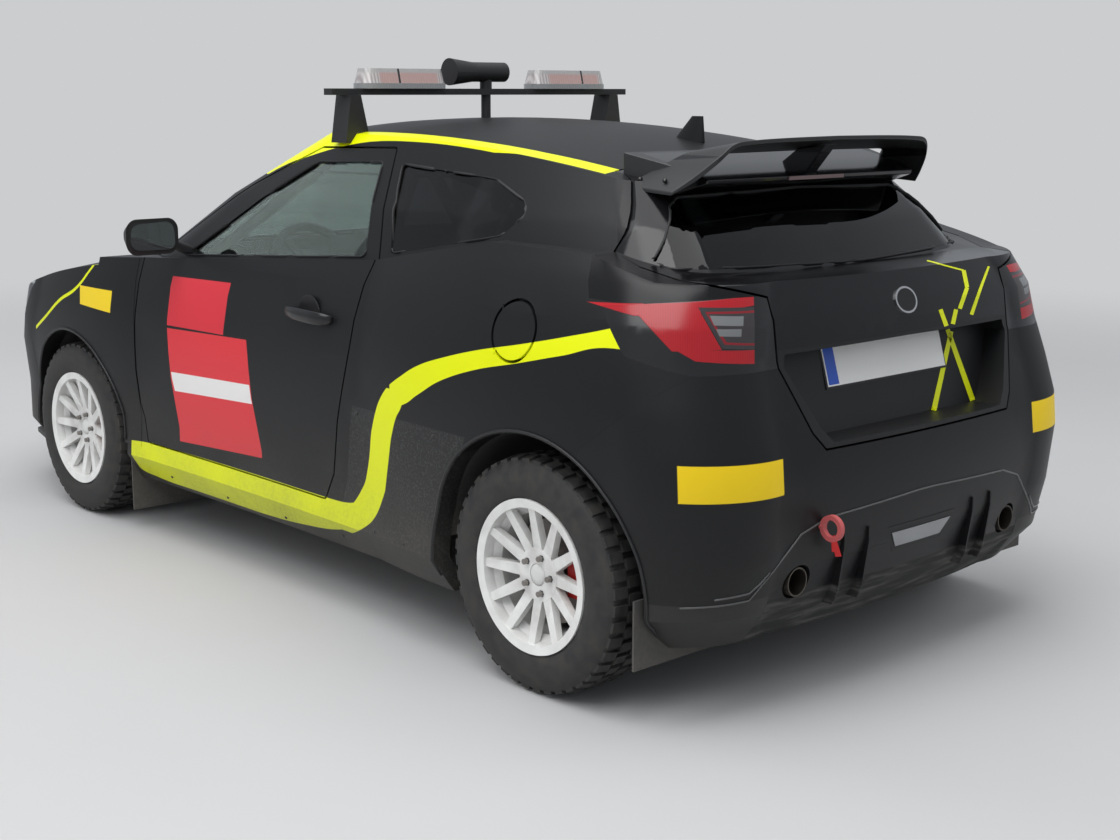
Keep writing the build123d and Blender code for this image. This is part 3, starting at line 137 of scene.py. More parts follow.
# windows, those at the side as (y, z) and the others as (x, z) of their left half
DOOR_WINDOW = [(-0.44, 1.016), (-0.11, 1.222), (0.1, 1.34), (0.446, 1.35), (0.552, 1.084)]
QUARTER_WINDOW = [(0.545, 1.348), (0.66, 1.1), (1.085, 1.174), (1.146, 1.232), (1.12, 1.268), (0.96, 1.322)]
REAR_WINDOW = [(0, 1.108), (0.612, 1.122), (0.628, 1.142), (0.5, 1.272), (0.46, 1.29), (0, 1.3)]
WINDSCREEN = [(0, 1.016), (0.668, 1.026), (0.584, 1.22), (0.5, 1.372), (0.44, 1.4), (0, 1.42)]
# radii of the strips laid on the skin
SIDE_SEAL, GLASS_SEAL, ARCH_LIP, EDGE_LINE, CREASE = 0.0055, 0.006, 0.0065, 0.004, 0.0035
# wheel arches: y, z, radius, first and last angle
ARCHES = [(FRONT_AXLE, 0.32, 0.374, -8, 200), (REAR_AXLE, 0.32, 0.388, -12, 192)]

# tyre section as (off the middle, radius); tread rows as (inner edge, outer edge, skew)
TREAD_DEPTH, TREAD_COUNT = 0.009, 44
TYRE_BASE = WHEEL_Z - TREAD_DEPTH
TYRE_SECTION = [
    (0.0865, 0.1935), (0.0895, 0.206), (0.097, 0.216), (0.1022, 0.236), (0.1025, 0.262), (0.0985, 0.286),
    (0.0925, 0.2985), (0.0885, 0.304), (0.08, TYRE_BASE - 0.002), (0.04, TYRE_BASE), (0.0, TYRE_BASE),
]
# a block's share of its pitch, and its foot and top: radius, drop at the shoulder, spread, shrink
BLOCK_SHARE = 0.72
BLOCK_LEVELS = ((TYRE_BASE - 0.004, 0.006, 1, 0), (WHEEL_Z, 0.0065, 0.86, 0.0016))
TREAD_ROWS = [(-0.088, -0.05, 0.12), (-0.044, -0.004, -0.1), (0.004, 0.044, 0.1), (0.05, 0.088, -0.12)]
# turned profiles, as (along the axis, radius)
WHEEL_NUT = [(0.052, 0.0), (0.052, 0.0095), (0.066, 0.0095), (0.069, 0.0075), (0.069, 0.0)]
CENTRE_CAP = [(0.05, 0.0), (0.05, 0.0285), (0.063, 0.0285), (0.067, 0.024), (0.069, 0.012), (0.069, 0.0)]
HANDLE_HOLLOW = [(0.0005, 0.0), (0.0012, 0.05), (0.0026, 0.055), (0.0, 0.058)]
SILL_BOLT = [(-0.002, 0.0), (-0.002, 0.006), (0.0012, 0.0055), (0.0028, 0.003), (0.003, 0.0)]
SPOILER_BOLT = [(-0.004, 0.0), (-0.004, 0.0065), (0.003, 0.0055), (0.005, 0.0)]
NUT_CIRCLE = 0.05

HANDLE_Y, HANDLE_Z = 0.357, 0.902
# the grip, as (along the car, off the door, half height)
GRIP = [
    (-0.108, 0.002, 0.008), (-0.102, 0.014, 0.014), (-0.08, 0.027, 0.018), (-0.03, 0.034, 0.02),
    (0.05, 0.036, 0.021), (0.098, 0.032, 0.02), (0.122, 0.018, 0.015), (0.128, 0.002, 0.009),
]
GRIP_HALF_DEPTH, GRIP_SLOPE = 0.007, 0.03
MIRROR_GLASS = [(0.856, 1.042), (1.02, 1.046), (1.016, 1.13), (0.862, 1.136)]
MIRROR_FACES = (-0.3995, -0.397)

PLATE_FRAME, PLATE_THICK = 0.006, 0.002
BAND_WIDTH, BAND_MARGIN, BAND_THICK = 0.042, 0.004, 0.0004
PLATE_PLACE, PLATE_LEAN = Vector((0.0, 1.838, 0.864)), 0.291
BADGE_PLACE, BADGE_LEAN = Vector((0.0, 1.902, 1.021)), 0.35
# the ring and the disc of the badge's place: radius, height, finish; and how flat they are
BADGE_RINGS = ((0.046, 0.004, 0), (0.039, 0.0048, 1))
BADGE_FLATNESS = 0.8
CAMERA_PLACE, CAMERA_LENS = Vector((3.6151, 4.4799, 1.5722)), 52.94
# yaw, pitch and roll in radians
CAMERA_TURN = (-2.3148, -0.1995, 0.0029)
# bright tape on the tailgate: start, end, half width at each
TAPES = [
    ((-0.232, 1.906, 0.976), (-0.022, 1.987, 0.7), 0.0055, 0.007),
    ((-0.155, 1.908, 0.983), (-0.295, 1.942, 0.7), 0.0055, 0.0075),
    ((-0.316, 1.868, 1.074), (-0.3, 1.893, 1.03), 0.0055, 0.0055),
    ((-0.3, 1.893, 1.03), (-0.251, 1.905, 0.976), 0.0055, 0.0055),
    ((-0.462, 1.854, 1.074), (-0.365, 1.893, 1.02), 0.003, 0.004),
    ((-0.365, 1.893, 1.02), (-0.311, 1.904, 0.954), 0.004, 0.005),
    ((-0.231, 1.805, 1.102), (-0.316, 1.868, 1.074), 0.0018, 0.0022),
]
SILL_BOLTS = [
    (-0.55, 0.236), (-0.2, 0.226), (0.15, 0.226), (0.48, 0.236), (0.7, 0.3), (0.86, 0.3),
    (1.00, 0.3), (0.62, 0.64), (1.02, 0.64),
]
# the diffuser's edge from the left to the middle, and the crease at the bumper's corner as (x, z)
DIFFUSER_EDGE = [
    (0.792, 1.72, 0.325), (0.635, 1.86, 0.332), (0.607, 1.9, 0.364), (0.487, 1.95, 0.481),
    (0.394, 1.985, 0.51), (0.033, 2.0, 0.526),
]
CORNER_CREASE = [(0.728, 0.345), (0.64, 0.352), (0.612, 0.372), (0.585, 0.399)]
SLOT_LAMP = [(-0.15, 0.442), (0.15, 0.442), (0.108, 0.368), (-0.108, 0.368)]
SLOT_LENS = [(-0.132, 0.424), (0.132, 0.424), (0.1, 0.38), (-0.1, 0.38)]
FIN_PLACES = (-0.33, -0.235, 0.235, 0.33)
FIN_HEIGHTS = (0.262, 0.3, 0.34, 0.38, 0.42, 0.46)
FIN_HALF, FIN_ROOT, FIN_TOP, FIN_FLARE = 0.003, -0.012, 0.006, 0.026
TOW_RING = Vector((0.418, 2.004, 0.47))
RIBBON_END = [(-0.012, 0, 0), (0.012, 0, 0.004), (0.012, 0.002, 0.004), (-0.012, 0.002, 0)]
RIBBON_TAILS = (Vector((-0.022, 0.002, -0.045)), Vector((-0.036, 0.002, -0.06)))
RIBBON_KNOT = [(-0.022, -0.001, 0), (-0.006, -0.001, 0), (-0.006, 0.001, 0), (-0.022, 0.001, 0)]

# blade of the spoiler and its turned end: distance from the middle, then its outline as (y, z)
BLADE = [
    (0.0, [(1.498, 1.412), (1.664, 1.446), (1.664, 1.434), (1.504, 1.4)]),
    (0.2, [(1.5, 1.411), (1.664, 1.444), (1.664, 1.432), (1.506, 1.399)]),
    (0.34, [(1.503, 1.41), (1.662, 1.44), (1.662, 1.428), (1.508, 1.398)]),
    (0.41, [(1.5, 1.408), (1.656, 1.432), (1.655, 1.418), (1.502, 1.394)]),
    (0.45, [(1.468, 1.386), (1.636, 1.398), (1.633, 1.38), (1.468, 1.37)]),
    (0.49, [(1.418, 1.35), (1.592, 1.35), (1.588, 1.332), (1.418, 1.334)]),
    (0.528, [(1.367, 1.318), (1.546, 1.308), (1.544, 1.298), (1.366, 1.308)]),
]
SPOILER_BASE = [
    (1.345, 1.3), (1.345, 1.404), (1.48, 1.374), (1.572, 1.346), (1.592, 1.338), (1.588, 1.326),
    (1.5, 1.3),
]
SPOILER_POST = [(1.44, 1.34), (1.56, 1.33), (1.64, 1.422), (1.54, 1.408)]
# their half widths, at the front and at the back
BASE_HALVES, POST_HALVES = (0.505, 0.442), (0.024, 0.024)
SPOILER_BOLTS = [(0.512, 1.415, 1.336), (0.512, 1.505, 1.336)]
BRAKE_LAMP = ((-0.118, 1.586, 1.327), (0.118, 1.5935, 1.337))

# studio lamps: name, place, size, power
LIGHTS = (
    ("key_light", (4.0, 2.0, 6.5), 6.0, 330),
    ("fill_light", (-5.0, 5.5, 4.5), 5.0, 120),
    ("top_light", (0.0, 0.5, 7.0), 7.0, 260),
    ("nose_light", (2.0, -6.5, 4.0), 5.0, 140),
    ("side_light", (7.0, -1.0, 2.6), 4.0, 60),
)
LIGHT_TARGET = Vector((0, 0.3, 0.5))
# distances at which the floor starts and ends its fade into the backdrop
FLOOR_FADE = (3.0, 9.0)


def settings():
    """The colours and the light level that the sidebar offers."""
    return bpy.context.scene.rally_dress


# Node trees


def plug(socket, value):
    """Links a wire to an input, or sets the input to a plain value."""
    if isinstance(value, Wire):
        value.tree.links.new(value.socket, socket)
    elif socket.type == "RGBA":
        socket.default_value = (*value, 1)
    else:
        socket.default_value = value


def add_node(tree, kind, inputs=None, **options):
    """A new node with its options set and its inputs, by number or name, plugged in."""
    node = tree.nodes.new(kind)
    for key, value in options.items():
        setattr(node, key, value)
    for key, value in (inputs or {}).items():
        plug(node.inputs[key], value)
    return node


def wire(tree, kind, inputs, out=0, **options):
    return Wire(tree, add_node(tree, kind, inputs, **options).outputs[out])


class Wire:
    """An output of a node. Sums, products and masks of it are new nodes in its tree."""

    def __init__(self, tree, socket):
        self.tree, self.socket = tree, socket

    def math(self, operation, *numbers, clamp=False):
        inputs = dict(enumerate(numbers))
        return wire(self.tree, "ShaderNodeMath", inputs, operation=operation, use_clamp=clamp)

    def __add__(self, other):
        return self.math("ADD", self, other)

    def __sub__(self, other):
        return self.math("SUBTRACT", self, other)

    def __rsub__(self, other):
        return self.math("SUBTRACT", other, self)

    def __mul__(self, other):
        return self.math("MULTIPLY", self, other)

    def __or__(self, other):
        return self.math("MAXIMUM", self, other)

    def __abs__(self):
        return self.math("ABSOLUTE", self)

    def ramp(self, low, high, start=0.0, end=1.0, kind="LINEAR"):
        """Its place between low and high, as start to end."""
        return wire(self.tree, "ShaderNodeMapRange", {0: self, 1: low, 2: high, 3: start, 4: end},
                    interpolation_type=kind)

    def smooth(self, low, high, start=0.0, end=1.0):
        return self.ramp(low, high, start, end, "SMOOTHSTEP")

    def within(self, low, high):
        """1 where it lies between low and high, with a crisp edge."""
        half, middle = (high - low) * 0.5, (high + low) * 0.5
        return (abs(self - middle) - half).ramp(-EDGE_SOFTNESS, EDGE_SOFTNESS, 1, 0)

    def noise(self, scale, detail, stretch=None):
        where = self
        if stretch:
            where = wire(self.tree, "ShaderNodeVectorMath", {0: self, 1: stretch}, operation="MULTIPLY")
        return wire(self.tree, "ShaderNodeTexNoise", {"Vector": where, "Scale": scale, "Detail": detail})

    def curve(self, points):
        """A smooth line through (value, result) points, flat beyond its ends."""
        firsts, results = zip(*points)
        low, high = min(results) - 0.001, max(results) + 0.001
        node = add_node(self.tree, "ShaderNodeFloatCurve", {"Value": self.ramp(firsts[0], firsts[-1])})
        line = node.mapping.curves[0]
        placed = [((a - firsts[0]) / (firsts[-1] - firsts[0]), (b - low) / (high - low)) for a, b in points]
        line.points[0].location, line.points[1].location = placed[0], placed[-1]
        for spot in placed[1:-1]:
            line.points.new(*spot)
        node.mapping.update()
        return Wire(self.tree, node.outputs[0]).ramp(0, 1, low, high)


def ribbon(along, across, points):
    """A stripe whose edges run smoothly through (along, low, high) points."""
    low = along.curve([(a, b) for a, b, _ in points])
    high = along.curve([(a, c) for a, _, c in points])
    return across.within(low, high) * along.within(points[0][0], points[-1][0])


def panel(first, second, *outlines):
    """A mask of four-sided shapes with straight sides, each given by its corners in order."""
    whole = None
    for corners in outlines:
        sides = list(zip(corners, corners[1:] + corners[:1]))
        turn = math.copysign(1, sum(a * d - c * b for (a, b), (c, d) in sides))
        for (a, b), (c, d) in sides:
            length = math.hypot(c - a, d - b) * turn
            away = (second - b) * ((c - a) / length) - (first - a) * ((d - b) / length)
            edge = away.ramp(-EDGE_SOFTNESS, EDGE_SOFTNESS)
            mask = edge if (a, b) == corners[0] else mask * edge
        whole = mask if whole is None else whole | mask
    return whole


def new_group(name, inputs, output):
    """An empty shader group: its inputs as wires, vectors where the value is None, and its output."""
    tree = bpy.data.node_groups.new(name, "ShaderNodeTree")
    for label, value in inputs.items():
        kind = "NodeSocketVector" if value is None else "NodeSocketFloat"
        socket = tree.interface.new_socket(label, in_out="INPUT", socket_type=kind)
        if value is not None:
            socket.default_value = value
    tree.interface.new_socket(output, in_out="OUTPUT", socket_type="NodeSocketFloat")
    given = add_node(tree, "NodeGroupInput").outputs
    return [Wire(tree, given[label]) for label in inputs], add_node(tree, "NodeGroupOutput").inputs[output]


def build_groups():
    """The effects that several finishes share."""
    (point, height, clean, amount), mask = new_group(
        "Road Dust", {"Point": None, "Height": 0.0, "Clean Above": 0.6, "Amount": 0.5}, "Mask")
    patches = point.noise(4.0, 5.0).ramp(0.3, 0.75)
    specks = point.noise(90.0, 3.0).ramp(0.42, 0.7)
    film = height.smooth(clean, 0.05) * (patches * 0.75 + 0.25)
    plug(mask, film.math("MULTIPLY", film * 0.8 + film * specks * 0.5, amount, clamp=True))

    (point, size), height = new_group("Fine Grain", {"Point": None, "Size": 400.0}, "Height")
    plug(height, point.noise(size, 2.0))

    (point, size, depth), shade = new_group("Cloud", {"Point": None, "Size": 2.0, "Depth": 0.3}, "Shade")
    plug(shade, 1.0 - point.noise(size, 4.0) * depth)


# Finishes

GLOSS_BLACK = (0.006, 0.006, 0.007)
DUST = (0.13, 0.12, 0.105)
STICKER_YELLOW = (0.86, 0.62, 0.02)


class Finish:
    """A material whose colour is painted in layers. Its wires give places in the car's frame."""

    def __init__(self, name, colour=GLOSS_BLACK):
        material = bpy.data.materials.new(name)
        material.use_nodes = True
        finishes[name] = material
        self.tree = material.node_tree
        self.shader = self.tree.nodes["Principled BSDF"]
        self.coords = add_node(self.tree, "ShaderNodeTexCoord").outputs
        self.point = Wire(self.tree, self.coords["Object"])
        self.x, self.y, self.z = self.split(self.point)
        self.side = abs(self.x)
        self.colour = colour

    def split(self, vector):
        node = add_node(self.tree, "ShaderNodeSeparateXYZ", {0: vector})
        return [Wire(self.tree, each) for each in node.outputs]

    def outward(self):
        """1 on the outside of the body, 0 on the inner faces of its panels."""
        across, along, up = self.split(Wire(self.tree, self.coords["Normal"]))
        sideways = (across * self.x.math("SIGN", self.x)).smooth(0.02, 0.06)
        return sideways | up.smooth(0.3, 0.35) | along.smooth(0.3, 0.35)

    def lamp_reach(self):
        """Distance across the view from the rear corner, the same for both sides."""
        return self.side * 0.736 - self.y * 0.677

    def off_axle(self):
        """Distance behind the nearer axle."""
        front = self.y.math("LESS_THAN", self.y, 0.0)
        return self.y - (front * (FRONT_AXLE - REAR_AXLE) + REAR_AXLE)

    def set(self, **values):
        for key, value in values.items():
            plug(self.shader.inputs[key.replace("_", " ").title().replace("Ior", "IOR")], value)

    def blend(self, share, first, second, how="MIX"):
        inputs = {0: share, 6: first, 7: second}
        return wire(self.tree, "ShaderNodeMix", inputs, 2, data_type="RGBA", blend_type=how)

    def paint(self, mask, colour, how="MIX"):
        """Lays a colour over what is there, where the mask is 1."""
        self.colour = self.blend(mask, self.colour, colour, how)
        self.set(base_color=self.colour)

    def group(self, name, **values):
        tree = bpy.data.node_groups[name]
        inputs = {key.replace("_", " ").title(): value for key, value in values.items()}
        return wire(self.tree, "ShaderNodeGroup", {"Point": self.point, **inputs}, node_tree=tree)

    def cloud(self, size, depth):
        """Darkens the colour in patches and gives their shade."""
        shade = self.group("Cloud", size=size, depth=depth)
        self.paint(1.0, shade, "MULTIPLY")
        return shade

    def dust(self, roughness, clean_above, amount):
        """Lays road dust over the colour and dulls the surface under it."""
        mask = self.group("Road Dust", height=self.z, clean_above=clean_above, amount=amount)
        self.paint(mask, DUST)
        self.set(roughness=mask.math("ADD", mask * 0.35, roughness, clamp=True))

    def bump(self, height, strength, distance=0.001):
        self.set(normal=wire(self.tree, "ShaderNodeBump",
                             {"Strength": strength, "Distance": distance, "Height": height}))

    def grain(self, size, strength, distance=0.001):
        self.bump(self.group("Fine Grain", size=size), strength, distance)


def film(name):
    """The start of a body finish: the satin black film."""
    finish = Finish(name, settings().film_colour)
    finish.cloud(1.6, 0.35)
    return finish


def plain_finish(name, colour, roughness, grain=400.0, strength=0.15, cloud=0.3,
                 clean_above=0.0, dust=0.0, **more):
    """A finish of one colour with a little cloud, grain and, if asked, dust."""
    finish = Finish(name, colour)
    shade = finish.cloud(7.0, cloud)
    if dust:
        finish.dust(roughness, clean_above, dust)
    else:
        finish.set(roughness=shade.math("ADD", (1.0 - shade) * 0.3, roughness, clamp=True))
    finish.grain(grain, strength)
    finish.set(**more)


def body_finish(name, panels):
    """The film of the body with its bright stripes, blank stickers and the given panels."""
    finish = film(name)
    y, z, side = finish.y, finish.z, finish.side
    outer = side.ramp(*SIDE_START) * finish.outward()
    stripe = ribbon(y, side, ROOF_STRIPE) * z.within(*ROOF_EDGE_Z) | ribbon(z, y, RISE_STRIPE)
    for points in (SILL_STRIPE, HIP_STRIPE, WING_STRIPE):
        stripe = stripe | ribbon(y, z, points)
    stripe = stripe * outer
    finish.paint(stripe, settings().stripe_colour)
    slick = stripe
    for corners, colour in [(BUMPER_STICKER, STICKER_YELLOW), (WING_STICKER, STICKER_YELLOW), *panels]:
        patch = panel(y, z, corners) * outer
        finish.paint(patch, colour)
        slick = slick | patch
    specks = finish.point.noise(160.0, 4.0).smooth(0.45, 0.75, 0.15, 0.8)
    finish.paint(panel(y, z, STONE_FILM) * (1.0 - stripe) * outer * specks, (0.06, 0.06, 0.058))
    gloss = panel(y, z, GLOSS_CORNER) * outer
    finish.paint(gloss, GLOSS_BLACK)
    tip = panel(finish.lamp_reach(), z, LAMP_TIP) * y.ramp(*LAMP_TIP_START)
    finish.paint(tip * outer, (0.42, 0.008, 0.014))
    finish.dust(0.42 - (slick * 0.1 + gloss * 0.16), 0.62, 0.55)
    finish.grain(900.0, 0.08, 0.0005)
    finish.set(specular_ior_level=0.28)


def bumper_finish():
    """The rear bumper: film, a blank sticker at each corner and a dull foot."""
    finish = film("bumper_film")
    sticker = panel(finish.side, finish.z, CORNER_STICKER) * finish.y.ramp(*CORNER_STICKER_START)
    finish.paint(sticker, (0.86, 0.6, 0.01))
    finish.paint(finish.z.ramp(*BUMPER_FOOT), (0.024, 0.024, 0.023))
    finish.dust(0.42, 0.62, 0.18)
    finish.grain(900.0, 0.08, 0.0005)
    finish.set(specular_ior_level=0.3)


def diffuser_finish():
    """Black plastic with a dusty, scraped skirt along its foot."""
    finish = Finish("diffuser_plastic", (0.008, 0.008, 0.009))
    scrapes = finish.point.noise(22.0, 6.0, (0.35, 1.0, 3.0)).smooth(0.42, 0.72)
    skirt = finish.z.ramp(*DIFFUSER_SKIRT)
    finish.paint(skirt, finish.blend(scrapes, (0.022, 0.022, 0.021), (0.085, 0.083, 0.078)))
    finish.set(roughness=skirt.ramp(0, 1, 0.38, 0.7), specular_ior_level=0.3)
    finish.bump(finish.point.noise(700.0, 2.0), 0.2)


def tailgate_finish():
    """Gloss down to the tailgate's lip, satin film in the recess below it."""
    finish = film("tailgate_film")
    gloss = finish.z.smooth(*TAILGATE_LIP)
    finish.paint(gloss, GLOSS_BLACK)
    finish.dust(0.42 - gloss * 0.26, 0.9, 0.25)
    finish.grain(900.0, 0.05, 0.0005)
    finish.set(specular_ior_level=0.4)


def spoiler_finish():
    """Satin blade and ends over a gloss base."""
    finish = Finish("spoiler_film", (0.02, 0.021, 0.022))
    finish.cloud(5.0, 0.3)
    under = finish.z.ramp(*BLADE_UNDERSIDE) * finish.side.ramp(*BLADE_SPAN)
    finish.paint(under, GLOSS_BLACK)
    finish.set(roughness=0.4 - under * 0.28, coat_weight=0.1, coat_roughness=0.3)
    finish.bump(finish.point.noise(800.0, 2.0), 0.05, 0.0005)


def tail_lamp_finish():
    """A red C round a dark field with two clear bars, in a black surround."""
    finish = Finish("tail_lamp")
    reach, z = finish.lamp_reach(), finish.z
    red, inner = panel(reach, z, *LAMP_RED), panel(reach, z, LAMP_INNER)
    line = reach.math("SUBTRACT", panel(reach, z, LAMP_LINE), panel(reach, z, LAMP_DARK), clamp=True)
    ribs = reach.math("SINE", reach * 1100.0)
    finish.paint(red, finish.blend(ribs.ramp(-1, 1, 0, 0.4), (0.4, 0.004, 0.01), (0.25, 0.002, 0.006)))
    finish.paint(inner, (0.035, 0.03, 0.032))
    finish.paint(line, (0.22, 0.006, 0.012))
    finish.paint(panel(reach, z, *LAMP_BARS), (0.17, 0.175, 0.18))
    finish.set(roughness=0.26, coat_weight=0.25, coat_roughness=0.15)
    finish.bump(red * 0.7 + inner * -0.4, 0.35, 0.0015)


def beacon_finish():
    """A clear ribbed lens with a red lamp in it, on a grey base."""
    finish = Finish("beacon_lens", (0.5, 0.47, 0.47))
    ribs = finish.x.math("SINE", finish.x * 620.0)
    finish.paint(ribs.ramp(-1, 1), (0.3, 0.27, 0.27))
    finish.paint(abs(finish.side - BEACON_MIDDLE).smooth(*BEACON_LAMP), (0.42, 0.28, 0.26))
    finish.paint(finish.z.ramp(*BEACON_TOP), (0.36, 0.35, 0.35))
    finish.paint(finish.side.within(*BEACON_JOINT), (0.01, 0.01, 0.01))
    finish.paint(finish.z.ramp(*BEACON_FOOT), (0.24, 0.245, 0.25))
    finish.set(roughness=0.14, coat_weight=1.0, coat_roughness=0.04)
    finish.bump(ribs, 0.25)


def headlamp_finish():
    """A dark bowl with bright projectors behind a clear cover."""
    finish = Finish("headlamp", (0.012, 0.012, 0.013))
    inner, outer = [abs(finish.side - middle).smooth(start, end) for middle, start, end in PROJECTORS]
    finish.paint((inner | outer) * finish.z.within(*PROJECTOR_Z), (0.22, 0.23, 0.24))
    finish.paint(finish.z.within(*HEADLAMP_BAR), (0.35, 0.36, 0.37))
    finish.set(roughness=0.2, coat_weight=0.4, coat_roughness=0.08)


def glass_finish(name, colour):
    """Window glass: a tint with a little dust."""
    finish = Finish(name, colour)
    finish.paint(finish.point.noise(3.0, 2.0).smooth(0.3, 0.8), tuple(0.92 * c for c in colour))
    finish.set(metallic=0.0, transmission_weight=1.0, ior=1.45, roughness=0.0)


def rim_finish():
    """White paint with brake dust towards the hub, and painted shade on the inner barrel, deeper in the
    wheel.
    """
    finish = Finish("rim_paint", (0.78, 0.78, 0.76))
    off_y, off_z = finish.off_axle(), finish.z - WHEEL_Z
    away = finish.z.math("SQRT", off_y * off_y + off_z * off_z)
    grime = finish.point.noise(14.0, 6.0).smooth(0.3, 0.8) * away.smooth(0.05, 0.2, 0.5, 0.22)
    # brake dust near the hub, and painted shade that darkens the rim deeper in the wheel
    finish.paint(grime | finish.side.smooth(0.8, 0.74, 0.0, 0.8), (0.16, 0.14, 0.12))
    finish.set(roughness=grime.ramp(0, 1, 0.32, 0.6), coat_weight=0.3, coat_roughness=0.15)
    finish.bump(finish.point.noise(260.0, 2.0), 0.05)


def tyre_finish():
    finish = Finish("tyre_rubber", (0.018, 0.018, 0.019))
    mould = finish.point.noise(30.0, 5.0)
    finish.paint(mould.smooth(0.3, 0.75), (0.045, 0.042, 0.038))
    finish.set(roughness=mould.smooth(0.3, 0.8, 0.62, 0.9))
    finish.bump(finish.point.noise(500.0, 3.0), 0.25)


def disc_finish():
    """Steel with fine rings round it."""
    finish = Finish("disc_steel", (0.34, 0.33, 0.32))
    rings = finish.point.noise(700.0, 2.0, (0.02, 1.0, 1.0))
    finish.paint(rings, (0.22, 0.19, 0.17))
    finish.set(metallic=0.9, roughness=rings.smooth(0.3, 0.7, 0.3, 0.5))


def hub_finish():
    """The running gear, with red calipers."""
    finish = Finish("hub_metal", (0.1, 0.1, 0.1))
    caliper = finish.off_axle().within(*CALIPER_Y) * finish.z.within(*CALIPER_Z)
    caliper = caliper * finish.side.ramp(*CALIPER_START)
    finish.paint(finish.point.noise(9.0, 4.0).smooth(0.3, 0.8), (0.055, 0.048, 0.042))
    finish.paint(caliper, (0.45, 0.018, 0.015))
    finish.set(roughness=0.45, metallic=caliper.math("SUBTRACT", 0.7, caliper * 0.7, clamp=True))
    finish.bump(finish.point.noise(300.0, 2.0), 0.15)


# colour, roughness, and what plain_finish is told beyond them
PLAIN = {
    "black_plastic": (
        (0.012, 0.012, 0.013), 0.45, dict(grain=900.0, strength=0.3, clean_above=0.42, dust=0.45)),
    "trim_plastic": ((0.017, 0.017, 0.018), 0.42, dict(grain=900.0, strength=0.2)),
    "flap_rubber": ((0.05, 0.05, 0.05), 0.7, dict(grain=150.0, strength=0.3, clean_above=0.7, dust=0.9)),
    "seal_rubber": ((0.008, 0.008, 0.009), 0.5, dict(strength=0.1)),
    "underbody": ((0.03, 0.03, 0.031), 0.8, dict(strength=0.3, clean_above=0.9, dust=0.9)),
    "engine_metal": ((0.25, 0.25, 0.26), 0.5, dict(metallic=0.8, strength=0.2)),
    "exhaust_steel": ((0.16, 0.14, 0.12), 0.4, dict(metallic=0.95, cloud=0.6, strength=0.1)),
    "seat_cloth": ((0.03, 0.03, 0.035), 0.95, dict(grain=1400.0, strength=0.6)),
    "cage_paint": ((0.55, 0.55, 0.56), 0.35, dict(strength=0.05)),
    "dash_plastic": ((0.03, 0.03, 0.033), 0.7, dict(grain=700.0, strength=0.4)),
    "wheel_leather": ((0.02, 0.02, 0.02), 0.8, dict(grain=900.0, strength=0.5)),
    "tape_yellow": ((0.74, 0.8, 0.0), 0.4, dict(cloud=0.05, strength=0.02)),
    "tow_red": ((0.62, 0.12, 0.12), 0.5, dict(cloud=0.4)),
    "ribbon_red": ((0.7, 0.02, 0.02), 0.7, dict(grain=1500.0, strength=0.4)),
    "plate_white": ((0.82, 0.82, 0.8), 0.3, dict(cloud=0.06, strength=0.02)),
    "plate_blue": ((0.02, 0.09, 0.5), 0.3, dict(cloud=0.05, strength=0.02)),
    "cap_white": ((0.75, 0.75, 0.73), 0.4, dict(cloud=0.2)),
    "nut_steel": ((0.09, 0.09, 0.09), 0.35, dict(metallic=0.9)),
    "reflector": ((0.75, 0.75, 0.76), 0.12, dict(metallic=1.0, strength=0.02)),
    "handle_black": ((0.012, 0.012, 0.013), 0.25, dict(cloud=0.1, strength=0.02)),
    # pale grey lines on the black diffuser edge and bumper creases: painted highlight
    "painted_highlight_line": ((0.1, 0.1, 0.1), 0.2, dict(cloud=0.2, strength=0.02)),
    "brake_lens": ((0.22, 0.15, 0.15), 0.15, dict(cloud=0.2, strength=0.2, grain=300.0)),
    "lamp_clear": ((0.33, 0.34, 0.35), 0.15, dict(cloud=0.3, strength=0.3, grain=200.0)),
    "mirror_silver": ((0.8, 0.82, 0.83), 0.03, dict(metallic=1.0, cloud=0.02, strength=0.0)),
}
# which finish each CAD node gets
NODE_FINISHES = {
    "body_film": "side_frame_left side_frame_right front_fenders front_bumper bonnet fuel_flap roof_panel",
    "door_film": "door_left door_right",
    "bumper_film": "rear_bumper",
    "tailgate_film": "tailgate",
    "spoiler_film": "roof_spoiler",
    "diffuser_plastic": "rear_diffuser",
    "black_plastic": "front_grille",
    "trim_plastic": "cowl roof_rack mirror_left mirror_right",
    "headlamp": "headlamps",
    "tail_lamp": "tail_lamps",
    "beacon_lens": "beacons",
    "clear_glass": "windscreen door_glass_left door_glass_right",
    "smoked_glass": "rear_window",
    "film_glass": "quarter_windows",
    "underbody": "floor_pan front_structure",
    "engine_metal": "engine_block",
    "dash_plastic": "dashboard",
    "seat_cloth": "seats",
    "cage_paint": "roll_cage",
    "wheel_leather": "steering_wheel",
    "hub_metal": "rear_axle front_upright_left front_upright_right",
    "exhaust_steel": "exhaust",
    "flap_rubber": "mud_flaps",
    "tow_red": "tow_loop",
    "rim_paint": " ".join("rim_" + spot for spot in WHEELS),
    "tyre_rubber": " ".join("tyre_" + spot for spot in WHEELS),
    "disc_steel": " ".join("brake_disc_" + spot for spot in WHEELS),
}
# panels whose facets are shaded smoothly, up to a fold of this many radians
FOLD_ANGLE = 0.42
SMOOTH_FINISHES = ("body_film", "door_film", "bumper_film", "tailgate_film", "spoiler_film", "tail_lamp",
                   "headlamp", "diffuser_plastic", "clear_glass", "smoked_glass", "film_glass")
SMOOTH_NODES = ["cowl"] + [name for finish in SMOOTH_FINISHES for name in NODE_FINISHES[finish].split()]


# Meshes


